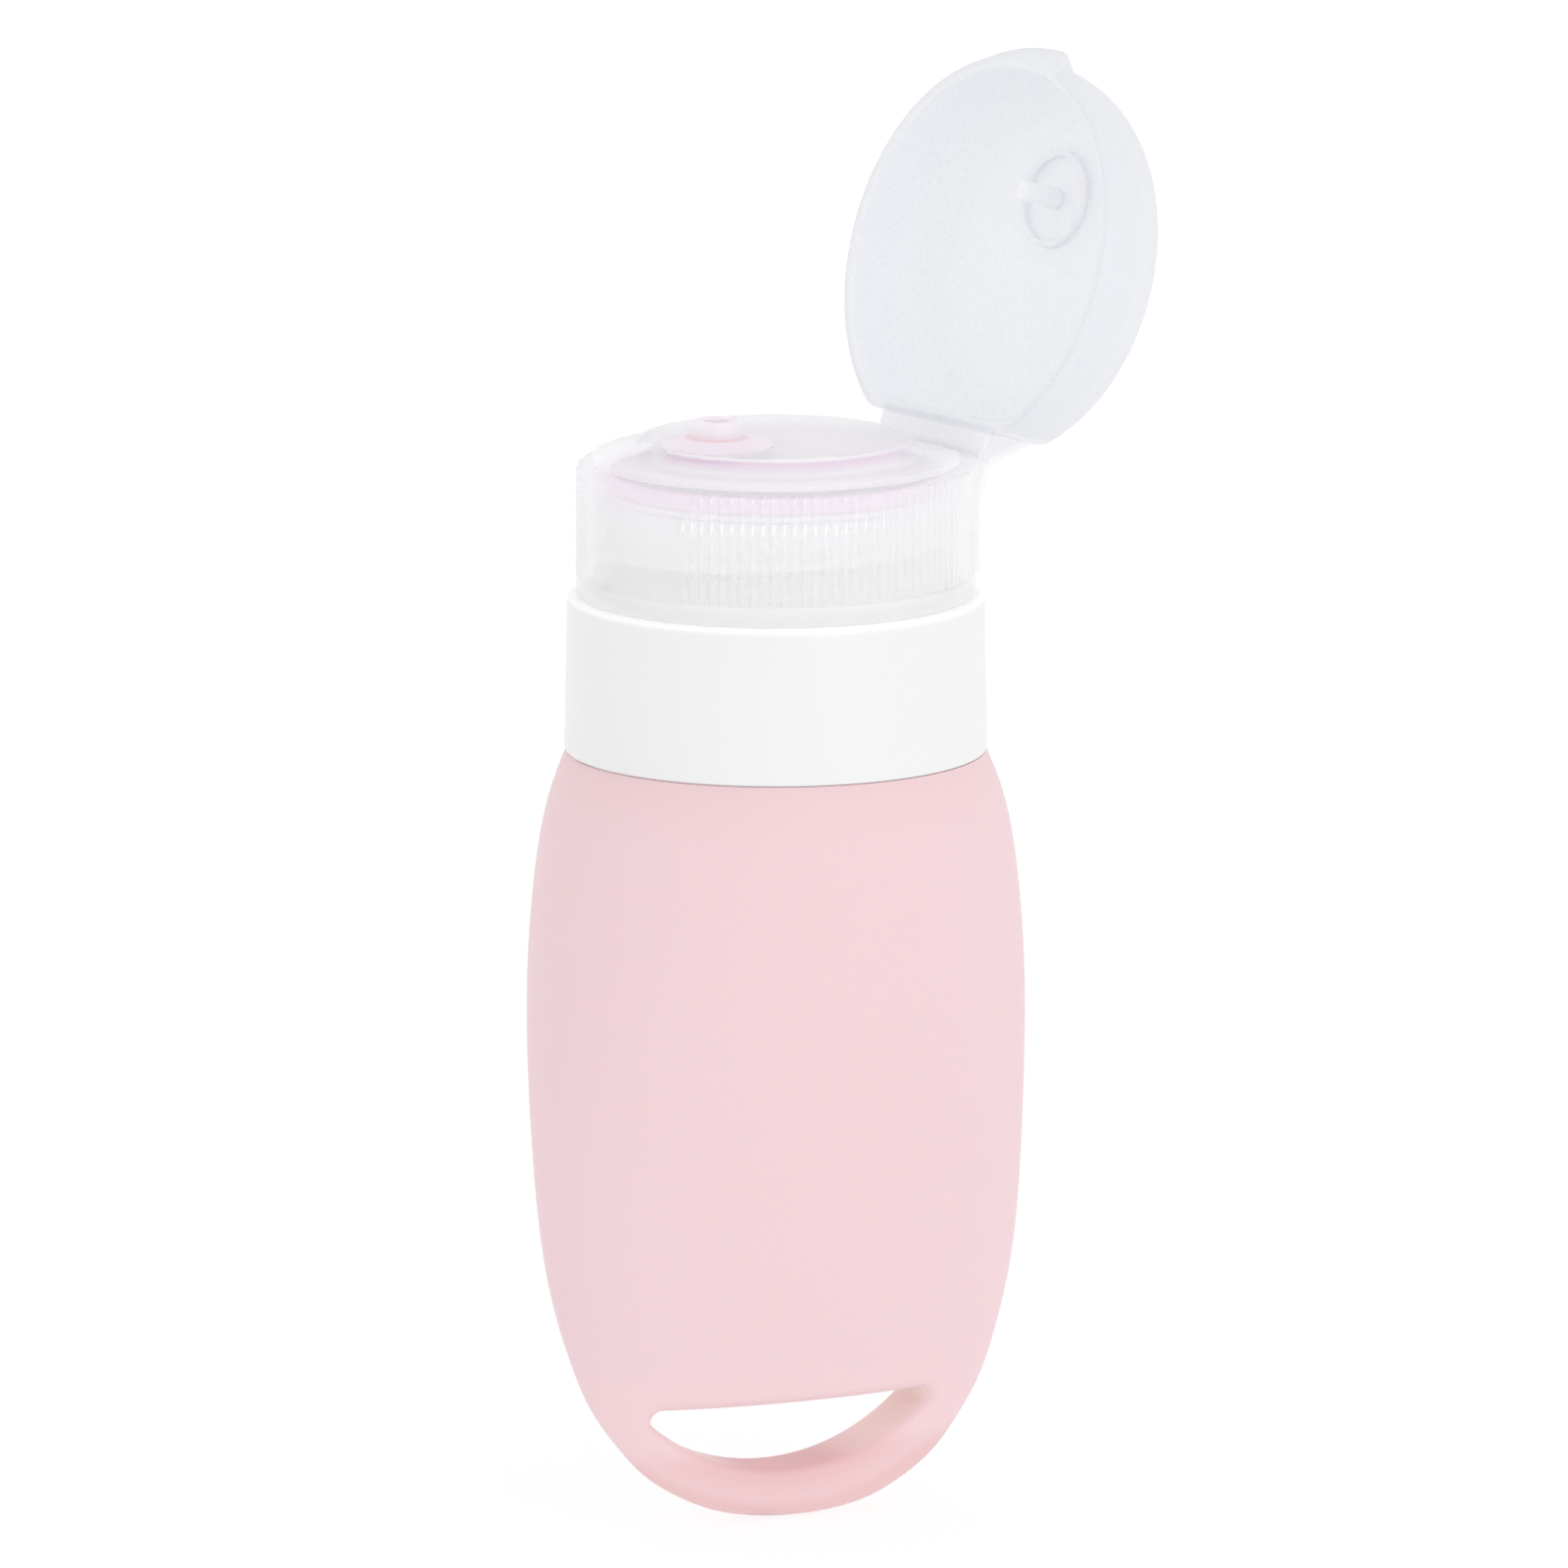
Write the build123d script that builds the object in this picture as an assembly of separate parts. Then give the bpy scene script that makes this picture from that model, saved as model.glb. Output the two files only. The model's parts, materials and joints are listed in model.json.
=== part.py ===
from build123d import *

import os
from math import atan2, cos, degrees, pi, radians, sin, sqrt

# Travel squeeze bottle: a soft bottle with a hanging loop in its foot, a collar ring round its neck,
# and a ribbed screw cap with a flip lid and a soft valve.
# Millimetres. The Z axis is the bottle's axis, X runs along the slot of the hanging loop and Y goes
# through it from back to front. The origin is the middle of the slot.
# The cap's own frame has its hinge on the +X side and its thumb side on the -X side, and is turned
# about Z by cap_turned.

# Hanging loop
slot_height = 7.2
slot_length = 31.0
slot_corner = 1.0
loop_thickness = 5.1
loop_edge = 1.6

# Soft bottle body
body_height = 78.4
body_half_width = 26.2
body_wall = 1.6
body_floor = 3.4
body_neck_wall = 2.2
cavity_foot_share = 0.82
# Each row: height as a share of body_height, half width as a share of body_half_width and half depth
# as a share of shoulder_radius.
body_section_shares = [
    (0.0015, 0.10, 0.045),
    (0.008, 0.235, 0.095),
    (0.029, 0.413, 0.150),
    (0.061, 0.568, 0.180),
    (0.105, 0.695, 0.235),
    (0.157, 0.805, 0.300),
    (0.221, 0.887, 0.400),
    (0.300, 0.948, 0.520),
    (0.400, 0.986, 0.650),
    (0.520, 1.0, 0.780),
    (0.640, 1.0, 0.888),
    (0.740, 0.985, 0.955),
    (0.830, 0.955, 0.992),
    (0.900, 0.918, 1.005),
    (0.955, 0.868, 1.004),
]

# Neck insert and its screw thread
neck_bore_radius = 14.8
insert_wall = 2.4
mouth_wall = 2.0
neck_barrel_length = 12.0
insert_flange = 1.2
rim_chamfer = 0.3
thread_pitch = 4.0
thread_height = 1.0
thread_base = 1.6
thread_crest = 0.8
thread_foot_gap = 2.6
thread_head_gap = 1.2
thread_play = 0.3
thread_clearance = 0.5
thread_sink = 0.2

# Collar ring
collar_height = 15.9
collar_wall = 1.8
collar_taper = 0.3
collar_reveal = 0.1
collar_lip = 0.7
collar_lip_reach = 1.5
collar_top_edge = 0.6
collar_bottom_edge = 0.3

# Screw cap
cap_turned = 12.0
cap_gap = 0.3
skirt_wall = 1.7
skirt_height = 12.2
shoulder_width = 1.5
shoulder_rise = 0.9
disc_step = 0.1
disc_rise = 0.7
disc_edge = 0.25
disc_border = 3.7
boss_slope = 1.2
boss_rise = 1.7
boss_roof = 0.9
boss_wall = 1.0
rib_depth = 0.35
rib_count = 120
rib_top_share = 0.35
rib_root_share = 0.8
plain_band = 1.8
thumb_patch_width = 16.1
thumb_patch_top_width = 19.2
thumb_patch_slant = 2.5
pad_rise = 0.8
pad_width = 18.0
pad_foot_gap = 1.0

# Slip washer
washer_thickness = 0.6
washer_overhang = 0.2

# Soft valve
valve_flange_clearance = 1.3
valve_flange = 1.8
valve_wall = 1.1
valve_clearance = 0.1
valve_cone_radius = 5.8
valve_cone_top_radius = 3.4
valve_cone_rise = 0.75
valve_hole_clearance = 0.15
valve_hole_margin = 0.15
nozzle_radius = 2.6
nozzle_bore_radius = 1.25
nozzle_height = 1.75
nozzle_edge = 0.3

# Flip lid
lid_overhang = 0.4
lid_height = 9.9
lid_wall = 1.2
lid_straight = 3.2
lid_shoulder = 5.5
lid_gap = 0.1
lid_chord_setback = 2.1
lid_open_angle = 107.0
lip_reach = 0.8
lip_width = 11.0
lip_height = 6.5
plug_ring_radius = 5.0
plug_ring_wall = 0.8
plug_clearance = 0.35
plug_pin_clearance = 0.2
plug_pin_depth = 0.9

# Living hinge
hinge_setback = 1.5
film_radius = 0.3
film_foot_share = 1.3
film_width = 2.4
film_inset = 0.4
ear_clearance = 0.1
ear_tip = 0.35
ear_root = 1.2
strap_inset = 3.0
strap_thickness = 0.7
strap_foot = 3.0
strap_bulge = 3.4
strap_lid_reach = 3.6
strap_drop = 4.6
strap_bow_share = 0.385
disc_flat_gap = 0.2

# One overrun serves all cuts.
overrun = 1.0

# Radii and reaches, from the neck's bore outwards
neck_barrel_radius = neck_bore_radius + insert_wall
neck_thread_root = neck_bore_radius + mouth_wall
neck_outer_radius = neck_barrel_radius + body_neck_wall
collar_bottom_radius = neck_outer_radius + collar_wall
collar_top_radius = collar_bottom_radius - collar_taper
shoulder_radius = collar_bottom_radius - collar_reveal
cap_bore_radius = neck_thread_root + thread_height + thread_clearance
skirt_radius = cap_bore_radius + skirt_wall
rib_root_radius = skirt_radius - rib_depth
disc_radius = skirt_radius - shoulder_width - disc_step
boss_base_radius = disc_radius - disc_border
boss_top_radius = boss_base_radius - boss_slope
boss_inner_radius = boss_top_radius - boss_wall
valve_flange_radius = cap_bore_radius - valve_flange_clearance
valve_wall_radius = boss_inner_radius - valve_clearance
valve_hole_radius = valve_cone_radius + valve_hole_clearance
nozzle_offset = boss_top_radius - valve_hole_radius - valve_hole_margin
pad_radius = skirt_radius + pad_rise
hinge_reach = pad_radius - hinge_setback
strap_width = pad_width - 2 * strap_inset
lid_radius = skirt_radius + lid_overhang
lid_inner_radius = lid_radius - lid_wall
lid_chord = hinge_reach - lid_chord_setback

# Heights along the bottle's axis
foot_z = -(slot_height / 2 + loop_thickness)
shoulder_z = foot_z + body_height
collar_top_z = shoulder_z + collar_height
skirt_z = collar_top_z + cap_gap
plate_under_z = skirt_z + skirt_height
parting_z = plate_under_z + shoulder_rise
disc_z = parting_z + disc_rise
boss_z = disc_z + boss_rise
boss_under_z = boss_z - boss_roof
flange_under_z = plate_under_z - valve_flange
neck_rim_z = flange_under_z - washer_thickness
insert_flange_top_z = collar_top_z - collar_lip
neck_top_z = insert_flange_top_z - insert_flange
barrel_z = neck_top_z - neck_barrel_length
lid_rim_z = parting_z + lid_gap

# Screw ridges: the cap's one lies under the neck's, with the flanks in play
flank_slope = (thread_base - thread_crest) / 2 / thread_height
thread_drop = thread_base - flank_slope * (thread_height + thread_clearance) + thread_play
neck_ridge_z = skirt_z + thread_foot_gap
neck_ridge_end_z = neck_rim_z - thread_head_gap
thread_turns = (neck_ridge_end_z - neck_ridge_z) / thread_pitch
cap_ridge_z = neck_ridge_z - thread_drop


def turned(points, arcs=()):
    """Solid turned about Z from points (radius, height). An entry in arcs, {index: through point},
    bends the stretch that starts at that point into an arc."""
    bends = dict(arcs)
    edges = []
    closed = points + points[:1]
    for index, (start, end) in enumerate(zip(closed, closed[1:])):
        first = (start[0], 0, start[1])
        last = (end[0], 0, end[1])
        if index in bends:
            through = bends[index]
            edges.append(ThreePointArc(first, (through[0], 0, through[1]), last))
        else:
            edges.append(Line(first, last))
    return revolve(Face(Wire(edges)), Axis.Z)


def ring(inner, outer, low, high):
    """Round ring about Z between two radii and two heights."""
    height = high - low
    shape = Cylinder(outer, height) - Cylinder(inner, height + 2 * overrun)
    return Pos(0, 0, low + height / 2) * shape


def disc(radius, low, high):
    """Solid round disc about Z between two heights."""
    height = high - low
    return Pos(0, 0, low + height / 2) * Cylinder(radius, height)


def block(low_corner, high_corner):
    """Box between two opposite corners."""
    size = [high - low for low, high in zip(low_corner, high_corner)]
    middle = [(high + low) / 2 for low, high in zip(low_corner, high_corner)]
    return Pos(*middle) * Box(*size)


def side_prism(points, y_low, y_high):
    """Solid between two depths whose side view, seen along Y, is the polygon of points (x, z)."""
    outline = Polyline(*[(x, y_low, z) for x, z in points], close=True)
    return Solid.extrude(Face(Wire(outline.edges())), Vector(0, y_high - y_low, 0))


def placed(shape):
    """Turns a shape from the cap's own frame into the bottle's frame."""
    return Rot(0, 0, cap_turned) * shape


def opened(shape):
    """Swings a shape from the closed lid's place to the open one, about the hinge line."""
    to_hinge = Pos(hinge_reach, 0, parting_z)
    return to_hinge * Rot(0, lid_open_angle, 0) * Pos(-hinge_reach, 0, -parting_z) * shape


def oval_face(height, half_width, half_depth):
    """Flat elliptical section of the body at one height."""
    return Pos(0, 0, height) * Ellipse(half_width, half_depth)


def helical_ridge(root_radius, crest_radius, start_z):
    """Screw ridge of trapezoid section, wound up from start_z and sunk a little into its wall."""
    outward = 1 if crest_radius > root_radius else -1
    foot = -outward * thread_sink
    crest = outward * thread_height
    foot_half = thread_base / 2 + flank_slope * thread_sink
    path = Helix(thread_pitch, thread_pitch * thread_turns, root_radius, center=(0, 0, start_z))
    start_plane = Plane(origin=path @ 0, x_dir=(1, 0, 0), z_dir=path % 0)
    crest_half = thread_crest / 2
    section = [(foot, -foot_half), (crest, -crest_half), (crest, crest_half), (foot, foot_half)]
    outline = make_face(Polyline(*section, close=True))
    return sweep(start_plane * outline, path=path, is_frenet=True)


def slot_shape():
    """Through slot of the hanging loop: a flat ceiling over a floor that follows the foot's curve."""
    half = slot_length / 2 + slot_corner
    top = slot_height / 2
    arc = ThreePointArc((-half, 0, top), (0, 0, -top), (half, 0, top))
    ceiling = Line((half, 0, top), (-half, 0, top))
    face = make_face(Wire([arc, ceiling]))
    face = fillet(face.vertices(), slot_corner)
    return extrude(face, amount=shoulder_radius, both=True)


def bottle_body():
    """Soft bottle: lofted oval sections, hollow above the slot, with a round neck under the collar."""
    sections = [
        oval_face(foot_z + body_height * level, body_half_width * width, shoulder_radius * depth)
        for level, width, depth in body_section_shares
    ]
    sections.append(oval_face(shoulder_z, shoulder_radius, shoulder_radius))
    whole = loft(Sketch() + [section.faces()[0] for section in sections])
    slotted = whole - slot_shape()
    rims = [edge for edge in slotted.edges() if on_slot_rim(edge)]
    side_wall = half_width_at(slot_height / 2) - slot_length / 2 - slot_corner
    slotted = fillet(rims, min(loop_edge, side_wall / 2))
    neck = ring(neck_barrel_radius, neck_outer_radius, shoulder_z - body_wall, neck_top_z)
    mouth = disc(neck_barrel_radius, shoulder_z - 2 * body_wall, neck_top_z + overrun)
    return slotted + neck - body_cavity() - mouth


def half_width_at(height):
    """Half width of the body at one height, straight between the sections below and above it."""
    level = (height - foot_z) / body_height
    for below, above in zip(body_section_shares, body_section_shares[1:]):
        if below[0] <= level <= above[0]:
            along = (level - below[0]) / (above[0] - below[0])
            return body_half_width * (below[1] + along * (above[1] - below[1]))
    return shoulder_radius


def on_slot_rim(edge):
    """True for the edges where the slot breaks out of the front and back of the body."""
    box = edge.bounding_box()
    inside = max(abs(box.min.Z), abs(box.max.Z)) < slot_height
    through = box.min.Y < 0 < box.max.Y
    return inside and not through


def body_cavity():
    """Hollow of the bottle: the body's sections less its wall, closed below by a smaller oval."""
    floor_z = slot_height / 2 + body_floor
    sections = []
    for level, width, depth in body_section_shares:
        height = foot_z + body_height * level
        half_width = body_half_width * width - body_wall
        half_depth = shoulder_radius * depth - body_wall
        if height > floor_z + body_floor / 2:
            if not sections:
                foot_width = half_width * cavity_foot_share
                foot_depth = half_depth * cavity_foot_share
                sections.append(oval_face(floor_z, foot_width, foot_depth))
            sections.append(oval_face(height, half_width, half_depth))
    throat = shoulder_radius - body_wall
    sections.append(oval_face(shoulder_z - body_wall, throat, throat))
    return loft(Sketch() + [section.faces()[0] for section in sections])


def neck_insert():
    """Rigid neck: a barrel in the soft neck, a flange under the collar's lip, a threaded mouth."""
    points = [
        (neck_bore_radius, barrel_z),
        (neck_barrel_radius, barrel_z),
        (neck_barrel_radius, neck_top_z),
        (neck_outer_radius, neck_top_z),
        (neck_outer_radius, insert_flange_top_z),
        (neck_thread_root, insert_flange_top_z),
        (neck_thread_root, neck_rim_z - rim_chamfer),
        (neck_thread_root - rim_chamfer, neck_rim_z),
        (neck_bore_radius, neck_rim_z),
    ]
    ridge = helical_ridge(neck_thread_root, neck_thread_root + thread_height, neck_ridge_z)
    return turned(points) + ridge


def collar_ring():
    """Collar: a plain tapered ring with an inward lip over the insert's flange."""
    lip_radius = neck_outer_radius - collar_lip_reach
    points = [
        (neck_outer_radius, shoulder_z),
        (collar_bottom_radius - collar_bottom_edge, shoulder_z),
        (collar_bottom_radius, shoulder_z + collar_bottom_edge),
        (collar_top_radius, collar_top_z - collar_top_edge),
        (collar_top_radius - collar_top_edge, collar_top_z),
        (lip_radius, collar_top_z),
        (lip_radius, insert_flange_top_z),
        (neck_outer_radius, insert_flange_top_z),
    ]
    rounding = 1 - sqrt(0.5)
    bottom_through = (
        collar_bottom_radius - rounding * collar_bottom_edge,
        shoulder_z + rounding * collar_bottom_edge,
    )
    top_through = (
        collar_top_radius - rounding * collar_top_edge,
        collar_top_z - rounding * collar_top_edge,
    )
    return turned(points, {1: bottom_through, 3: top_through})


def rib_band(from_angle, to_angle, low, high):
    """Toothed band of upright ribs between two angles, in degrees, about Z."""
    pitch_angle = 2 * pi / rib_count
    rib_total = int((to_angle - from_angle) / degrees(pitch_angle))
    inner_radius = rib_root_radius - thread_sink
    points = []
    for index in range(rib_total):
        middle = radians(from_angle) + (index + 0.5) * pitch_angle
        root_half = rib_root_share * pitch_angle / 2
        top_half = rib_top_share * pitch_angle / 2
        points.append((rib_root_radius, middle - root_half))
        points.append((skirt_radius, middle - top_half))
        points.append((skirt_radius, middle + top_half))
        points.append((rib_root_radius, middle + root_half))
    last = points[-1][1]
    first = points[0][1]
    outer = [(radius * cos(angle), radius * sin(angle), low) for radius, angle in points]
    middle = (first + last) / 2
    edges = Polyline(*outer).edges()
    far_end = (inner_radius * cos(last), inner_radius * sin(last), low)
    near_end = (inner_radius * cos(first), inner_radius * sin(first), low)
    halfway = (inner_radius * cos(middle), inner_radius * sin(middle), low)
    edges.append(Line(outer[-1], far_end).edges()[0])
    edges.append(ThreePointArc(far_end, halfway, near_end).edges()[0])
    edges.append(Line(near_end, outer[0]).edges()[0])
    return Solid.extrude(Face(Wire(edges)), Vector(0, 0, high - low))


def cap_shell():
    """Screw cap: skirt, shoulder, raised disc and boss, with ribs, hinge pad and inner thread."""
    ribs_z = skirt_z + plain_band
    shoulder_through = (
        skirt_radius - shoulder_width * (1 - sqrt(0.5)),
        plate_under_z + shoulder_rise * sqrt(0.5),
    )
    outer = [
        (cap_bore_radius, skirt_z),
        (skirt_radius, skirt_z),
        (skirt_radius, ribs_z),
        (rib_root_radius, ribs_z),
        (rib_root_radius, plate_under_z),
        (skirt_radius, plate_under_z),
        (skirt_radius - shoulder_width, parting_z),
        (disc_radius, parting_z),
        (disc_radius, disc_z - disc_edge),
        (disc_radius - disc_edge, disc_z),
        (boss_base_radius, disc_z),
        (boss_top_radius, boss_z),
        (0, boss_z),
        (0, boss_under_z),
        (boss_inner_radius, boss_under_z),
        (boss_inner_radius, plate_under_z),
        (cap_bore_radius, plate_under_z),
    ]
    shape = turned(outer, {5: shoulder_through})
    patch_angle = degrees(atan2(thumb_patch_width / 2, skirt_radius))
    pad_angle = degrees(atan2(pad_width / 2, skirt_radius))
    for side in (1, -1):
        low_angle, high_angle = sorted((side * pad_angle, side * (180 - patch_angle)))
        shape = shape + rib_band(low_angle, high_angle, ribs_z, plate_under_z)
    shape = shape - thumb_patch(ribs_z)
    shape = shape + hinge_pad()
    shape = shape - disc_flat()
    hole = disc(valve_hole_radius, boss_under_z - overrun, boss_z + overrun)
    shape = shape - Pos(-nozzle_offset, 0, 0) * hole
    ridge = helical_ridge(cap_bore_radius, cap_bore_radius - thread_height, cap_ridge_z)
    return shape + ridge


def thumb_patch(ribs_z):
    """Smooth patch under the thumb, wider at its top, where the ribs are left off."""
    half = thumb_patch_width / 2
    top_half = thumb_patch_top_width / 2
    slant_z = plate_under_z - thumb_patch_slant
    far_x = -(skirt_radius + overrun)
    outline = Polyline(
        (far_x, -half, ribs_z),
        (far_x, half, ribs_z),
        (far_x, half, slant_z),
        (far_x, top_half, plate_under_z),
        (far_x, -top_half, plate_under_z),
        (far_x, -half, slant_z),
        close=True,
    )
    window = Solid.extrude(Face(Wire(outline.edges())), Vector(skirt_radius, 0, 0))
    return window & ring(rib_root_radius, skirt_radius + overrun, ribs_z, plate_under_z)


def hinge_pad():
    """Raised pad on the skirt that carries the living hinge."""
    pad_top = parting_z - film_radius
    wedge = block(
        (cap_bore_radius - overrun, -pad_width / 2, skirt_z + pad_foot_gap),
        (pad_radius + overrun, pad_width / 2, pad_top),
    )
    inner = cap_bore_radius + thread_sink
    return wedge & ring(inner, pad_radius, skirt_z, pad_top)


def disc_flat():
    """Space cut off the disc beside the hinge, for the lid's straight wall."""
    flat_x = lid_chord - lid_wall - disc_flat_gap
    high_corner = (skirt_radius + overrun, skirt_radius, disc_z + overrun)
    return block((flat_x, -skirt_radius, parting_z), high_corner)


def slip_washer():
    """Thin washer between the neck's rim and the valve's flange."""
    outer = neck_thread_root + washer_overhang
    return ring(neck_bore_radius, outer, neck_rim_z, flange_under_z)


def valve():
    """Soft valve: a sealing flange, a raised middle under the cap's boss, and the nozzle."""
    roof_z = boss_under_z - valve_clearance
    points = [
        (valve_wall_radius - valve_wall, flange_under_z),
        (valve_flange_radius, flange_under_z),
        (valve_flange_radius, plate_under_z),
        (valve_wall_radius, plate_under_z),
        (valve_wall_radius, roof_z),
        (0, roof_z),
        (0, roof_z - valve_wall),
        (valve_wall_radius - valve_wall, roof_z - valve_wall),
    ]
    cone_top_z = boss_z + valve_cone_rise
    nozzle_z = cone_top_z + nozzle_height
    spout = turned(
        [
            (0, roof_z - valve_wall / 2),
            (valve_cone_radius, roof_z - valve_wall / 2),
            (valve_cone_radius, boss_z),
            (valve_cone_top_radius, cone_top_z),
            (nozzle_radius, cone_top_z),
            (nozzle_radius, nozzle_z - nozzle_edge),
            (nozzle_radius - nozzle_edge, nozzle_z),
            (0, nozzle_z),
        ]
    )
    bore = disc(nozzle_bore_radius, roof_z - valve_wall - overrun, nozzle_z + overrun)
    aside = Pos(-nozzle_offset, 0, 0)
    return turned(points) + aside * spout - aside * bore


def dome(radius, height, straight, shoulder):
    """Solid dome on the rim plane: an upright wall, a curved shoulder and a flat crown."""
    crown_radius = radius - shoulder
    rise = height - straight
    points = [
        (0, lid_rim_z),
        (radius, lid_rim_z),
        (radius, lid_rim_z + straight),
        (crown_radius, lid_rim_z + height),
        (0, lid_rim_z + height),
    ]
    through = (crown_radius + shoulder * sqrt(0.5), lid_rim_z + straight + rise * sqrt(0.5))
    return turned(points, {2: through})


def flip_lid():
    """Flip lid: a shallow dome with a straight hinge wall, a thumb lip and a plug for the nozzle."""
    low_z = lid_rim_z - overrun
    far_corner = (2 * lid_radius, 2 * lid_radius, lid_rim_z + lid_height + overrun)
    beyond = block((lid_chord, -2 * lid_radius, low_z), far_corner)
    beyond_inner = block((lid_chord - lid_wall, -2 * lid_radius, low_z), far_corner)
    outer = dome(lid_radius, lid_height, lid_straight, lid_shoulder) - beyond
    lip_top_z = lid_rim_z + lip_height
    lip_space = block(
        (-2 * lid_radius, -lip_width / 2, lid_rim_z),
        (-lid_radius / 2, lip_width / 2, lip_top_z),
    )
    lip = disc(lid_radius + lip_reach, lid_rim_z, lip_top_z) & lip_space
    hollow = dome(lid_inner_radius, lid_height - lid_wall, lid_straight, lid_shoulder)
    shape = outer + lip - (hollow - beyond_inner)
    roof_z = lid_rim_z + lid_height - lid_wall / 2
    ring_z = boss_z + valve_cone_rise + plug_clearance
    aside = Pos(-nozzle_offset, 0, 0)
    plug_ring = aside * ring(plug_ring_radius - plug_ring_wall, plug_ring_radius, ring_z, roof_z)
    pin_z = boss_z + valve_cone_rise + nozzle_height - plug_pin_depth
    pin = aside * disc(nozzle_bore_radius - plug_pin_clearance, pin_z, roof_z)
    shape = shape + plug_ring + pin
    for side in (1, -1):
        shape = shape + hinge_ear(side)
    return opened(shape)


def film_span(side):
    """Depths between which one film hinge lies, on the side of the hinge given by the sign."""
    outer_y = pad_width / 2 - film_inset
    ends = (side * outer_y, side * (outer_y - film_width))
    return min(ends), max(ends)


def hinge_ear(side):
    """Wedge-shaped ear that reaches from the lid's straight wall to the fold line."""
    y_low, y_high = film_span(side)
    tip_x = hinge_reach - film_radius - ear_clearance
    root_x = lid_chord - lid_wall / 2
    points = [
        (root_x, lid_rim_z),
        (tip_x, lid_rim_z),
        (tip_x, lid_rim_z + ear_tip),
        (lid_chord, lid_rim_z + ear_root),
        (root_x, lid_rim_z + ear_root),
    ]
    return side_prism(points, y_low, y_high)


def film_hinge(side):
    """Film hinge: a thin bead on the fold line, on a foot that stands on the hinge pad."""
    y_low, y_high = film_span(side)
    foot_half = film_radius * film_foot_share / 2
    pad_top = parting_z - film_radius
    low_corner = (hinge_reach - foot_half, y_low, pad_top)
    high_corner = (hinge_reach + foot_half, y_high, parting_z)
    middle = Pos(hinge_reach, (y_low + y_high) / 2, parting_z)
    bead = middle * Rot(90, 0, 0) * Cylinder(film_radius, y_high - y_low)
    return block(low_corner, high_corner) + bead


def hinge_strap():
    """Spring strap of the hinge: up from the pad, bowed outwards, on to the lid's straight wall."""
    angle = radians(lid_open_angle)
    wall_out = (sin(angle), cos(angle))
    wall_base = (
        hinge_reach - (hinge_reach - lid_chord) * cos(angle),
        parting_z + (hinge_reach - lid_chord) * sin(angle),
    )
    inner_end = (
        wall_base[0] + wall_out[0] * strap_lid_reach,
        wall_base[1] + wall_out[1] * strap_lid_reach,
    )
    outer_end = (
        inner_end[0] + wall_out[0] * strap_thickness,
        inner_end[1] + wall_out[1] * strap_thickness,
    )
    foot_top_z = parting_z - strap_drop
    foot_low_z = foot_top_z - strap_foot
    inner_x = pad_radius * cos(atan2(strap_width / 2, pad_radius)) - strap_thickness
    outer_x = pad_radius + strap_thickness
    bow_z = parting_z - strap_drop * strap_bow_share
    bow_x = hinge_reach + strap_bulge
    foot_inner = (inner_x, 0, foot_low_z)
    foot_outer = (outer_x, 0, foot_low_z)
    foot_shoulder = (outer_x, 0, foot_top_z)
    foot_corner = (pad_radius, 0, foot_top_z)
    foot_back = (inner_x, 0, foot_top_z)
    lid_outer = (outer_end[0], 0, outer_end[1])
    lid_inner = (inner_end[0], 0, inner_end[1])
    edges = [
        Line(foot_inner, foot_outer),
        Line(foot_outer, foot_shoulder),
        ThreePointArc(foot_shoulder, (bow_x + strap_thickness, 0, bow_z), lid_outer),
        Line(lid_outer, lid_inner),
        ThreePointArc(lid_inner, (bow_x, 0, bow_z), foot_corner),
        Line(foot_corner, foot_back),
        Line(foot_back, foot_inner),
    ]
    face = Pos(0, -strap_width / 2, 0) * Face(Wire(edges))
    strap = Solid.extrude(face, Vector(0, strap_width, 0))
    return strap - disc(pad_radius, foot_low_z - overrun, parting_z)


def write_parts():
    """Writes one STEP file for each piece."""
    os.makedirs("parts", exist_ok=True)
    pieces = {
        "bottle_body": bottle_body(),
        "neck_insert": neck_insert(),
        "collar_ring": collar_ring(),
        "slip_washer": slip_washer(),
        "valve": placed(valve()),
        "cap_shell": placed(cap_shell()),
        "film_hinge_left": placed(film_hinge(-1)),
        "film_hinge_right": placed(film_hinge(1)),
        "hinge_strap": placed(hinge_strap()),
        "flip_lid": placed(flip_lid()),
    }
    for name, shape in pieces.items():
        export_step(shape, f"parts/{name}.step")


write_parts()
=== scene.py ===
import json
import math

import bmesh
import bpy
import numpy as np
from bpy.props import FloatProperty, FloatVectorProperty, IntProperty, PointerProperty
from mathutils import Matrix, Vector


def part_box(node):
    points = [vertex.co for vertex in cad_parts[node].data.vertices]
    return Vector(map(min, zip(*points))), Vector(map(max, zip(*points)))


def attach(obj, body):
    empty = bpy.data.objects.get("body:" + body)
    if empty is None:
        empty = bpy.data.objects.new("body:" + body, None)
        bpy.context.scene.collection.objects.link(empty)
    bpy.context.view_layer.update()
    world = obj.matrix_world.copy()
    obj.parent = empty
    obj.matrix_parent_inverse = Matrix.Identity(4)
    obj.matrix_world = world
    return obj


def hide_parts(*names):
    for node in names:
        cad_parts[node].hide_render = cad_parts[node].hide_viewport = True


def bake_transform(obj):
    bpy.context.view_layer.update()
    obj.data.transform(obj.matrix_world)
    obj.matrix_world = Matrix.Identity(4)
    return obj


bl_info = {
    "name": "Travel Squeeze Bottle",
    "version": (1, 0, 0),
    "blender": (4, 5, 0),
    "location": "View3D > Sidebar > Squeeze Bottle",
    "description": "Dresses the frame of a soft travel bottle with a screw cap and a flip lid",
    "category": "Add Mesh",
}

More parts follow.
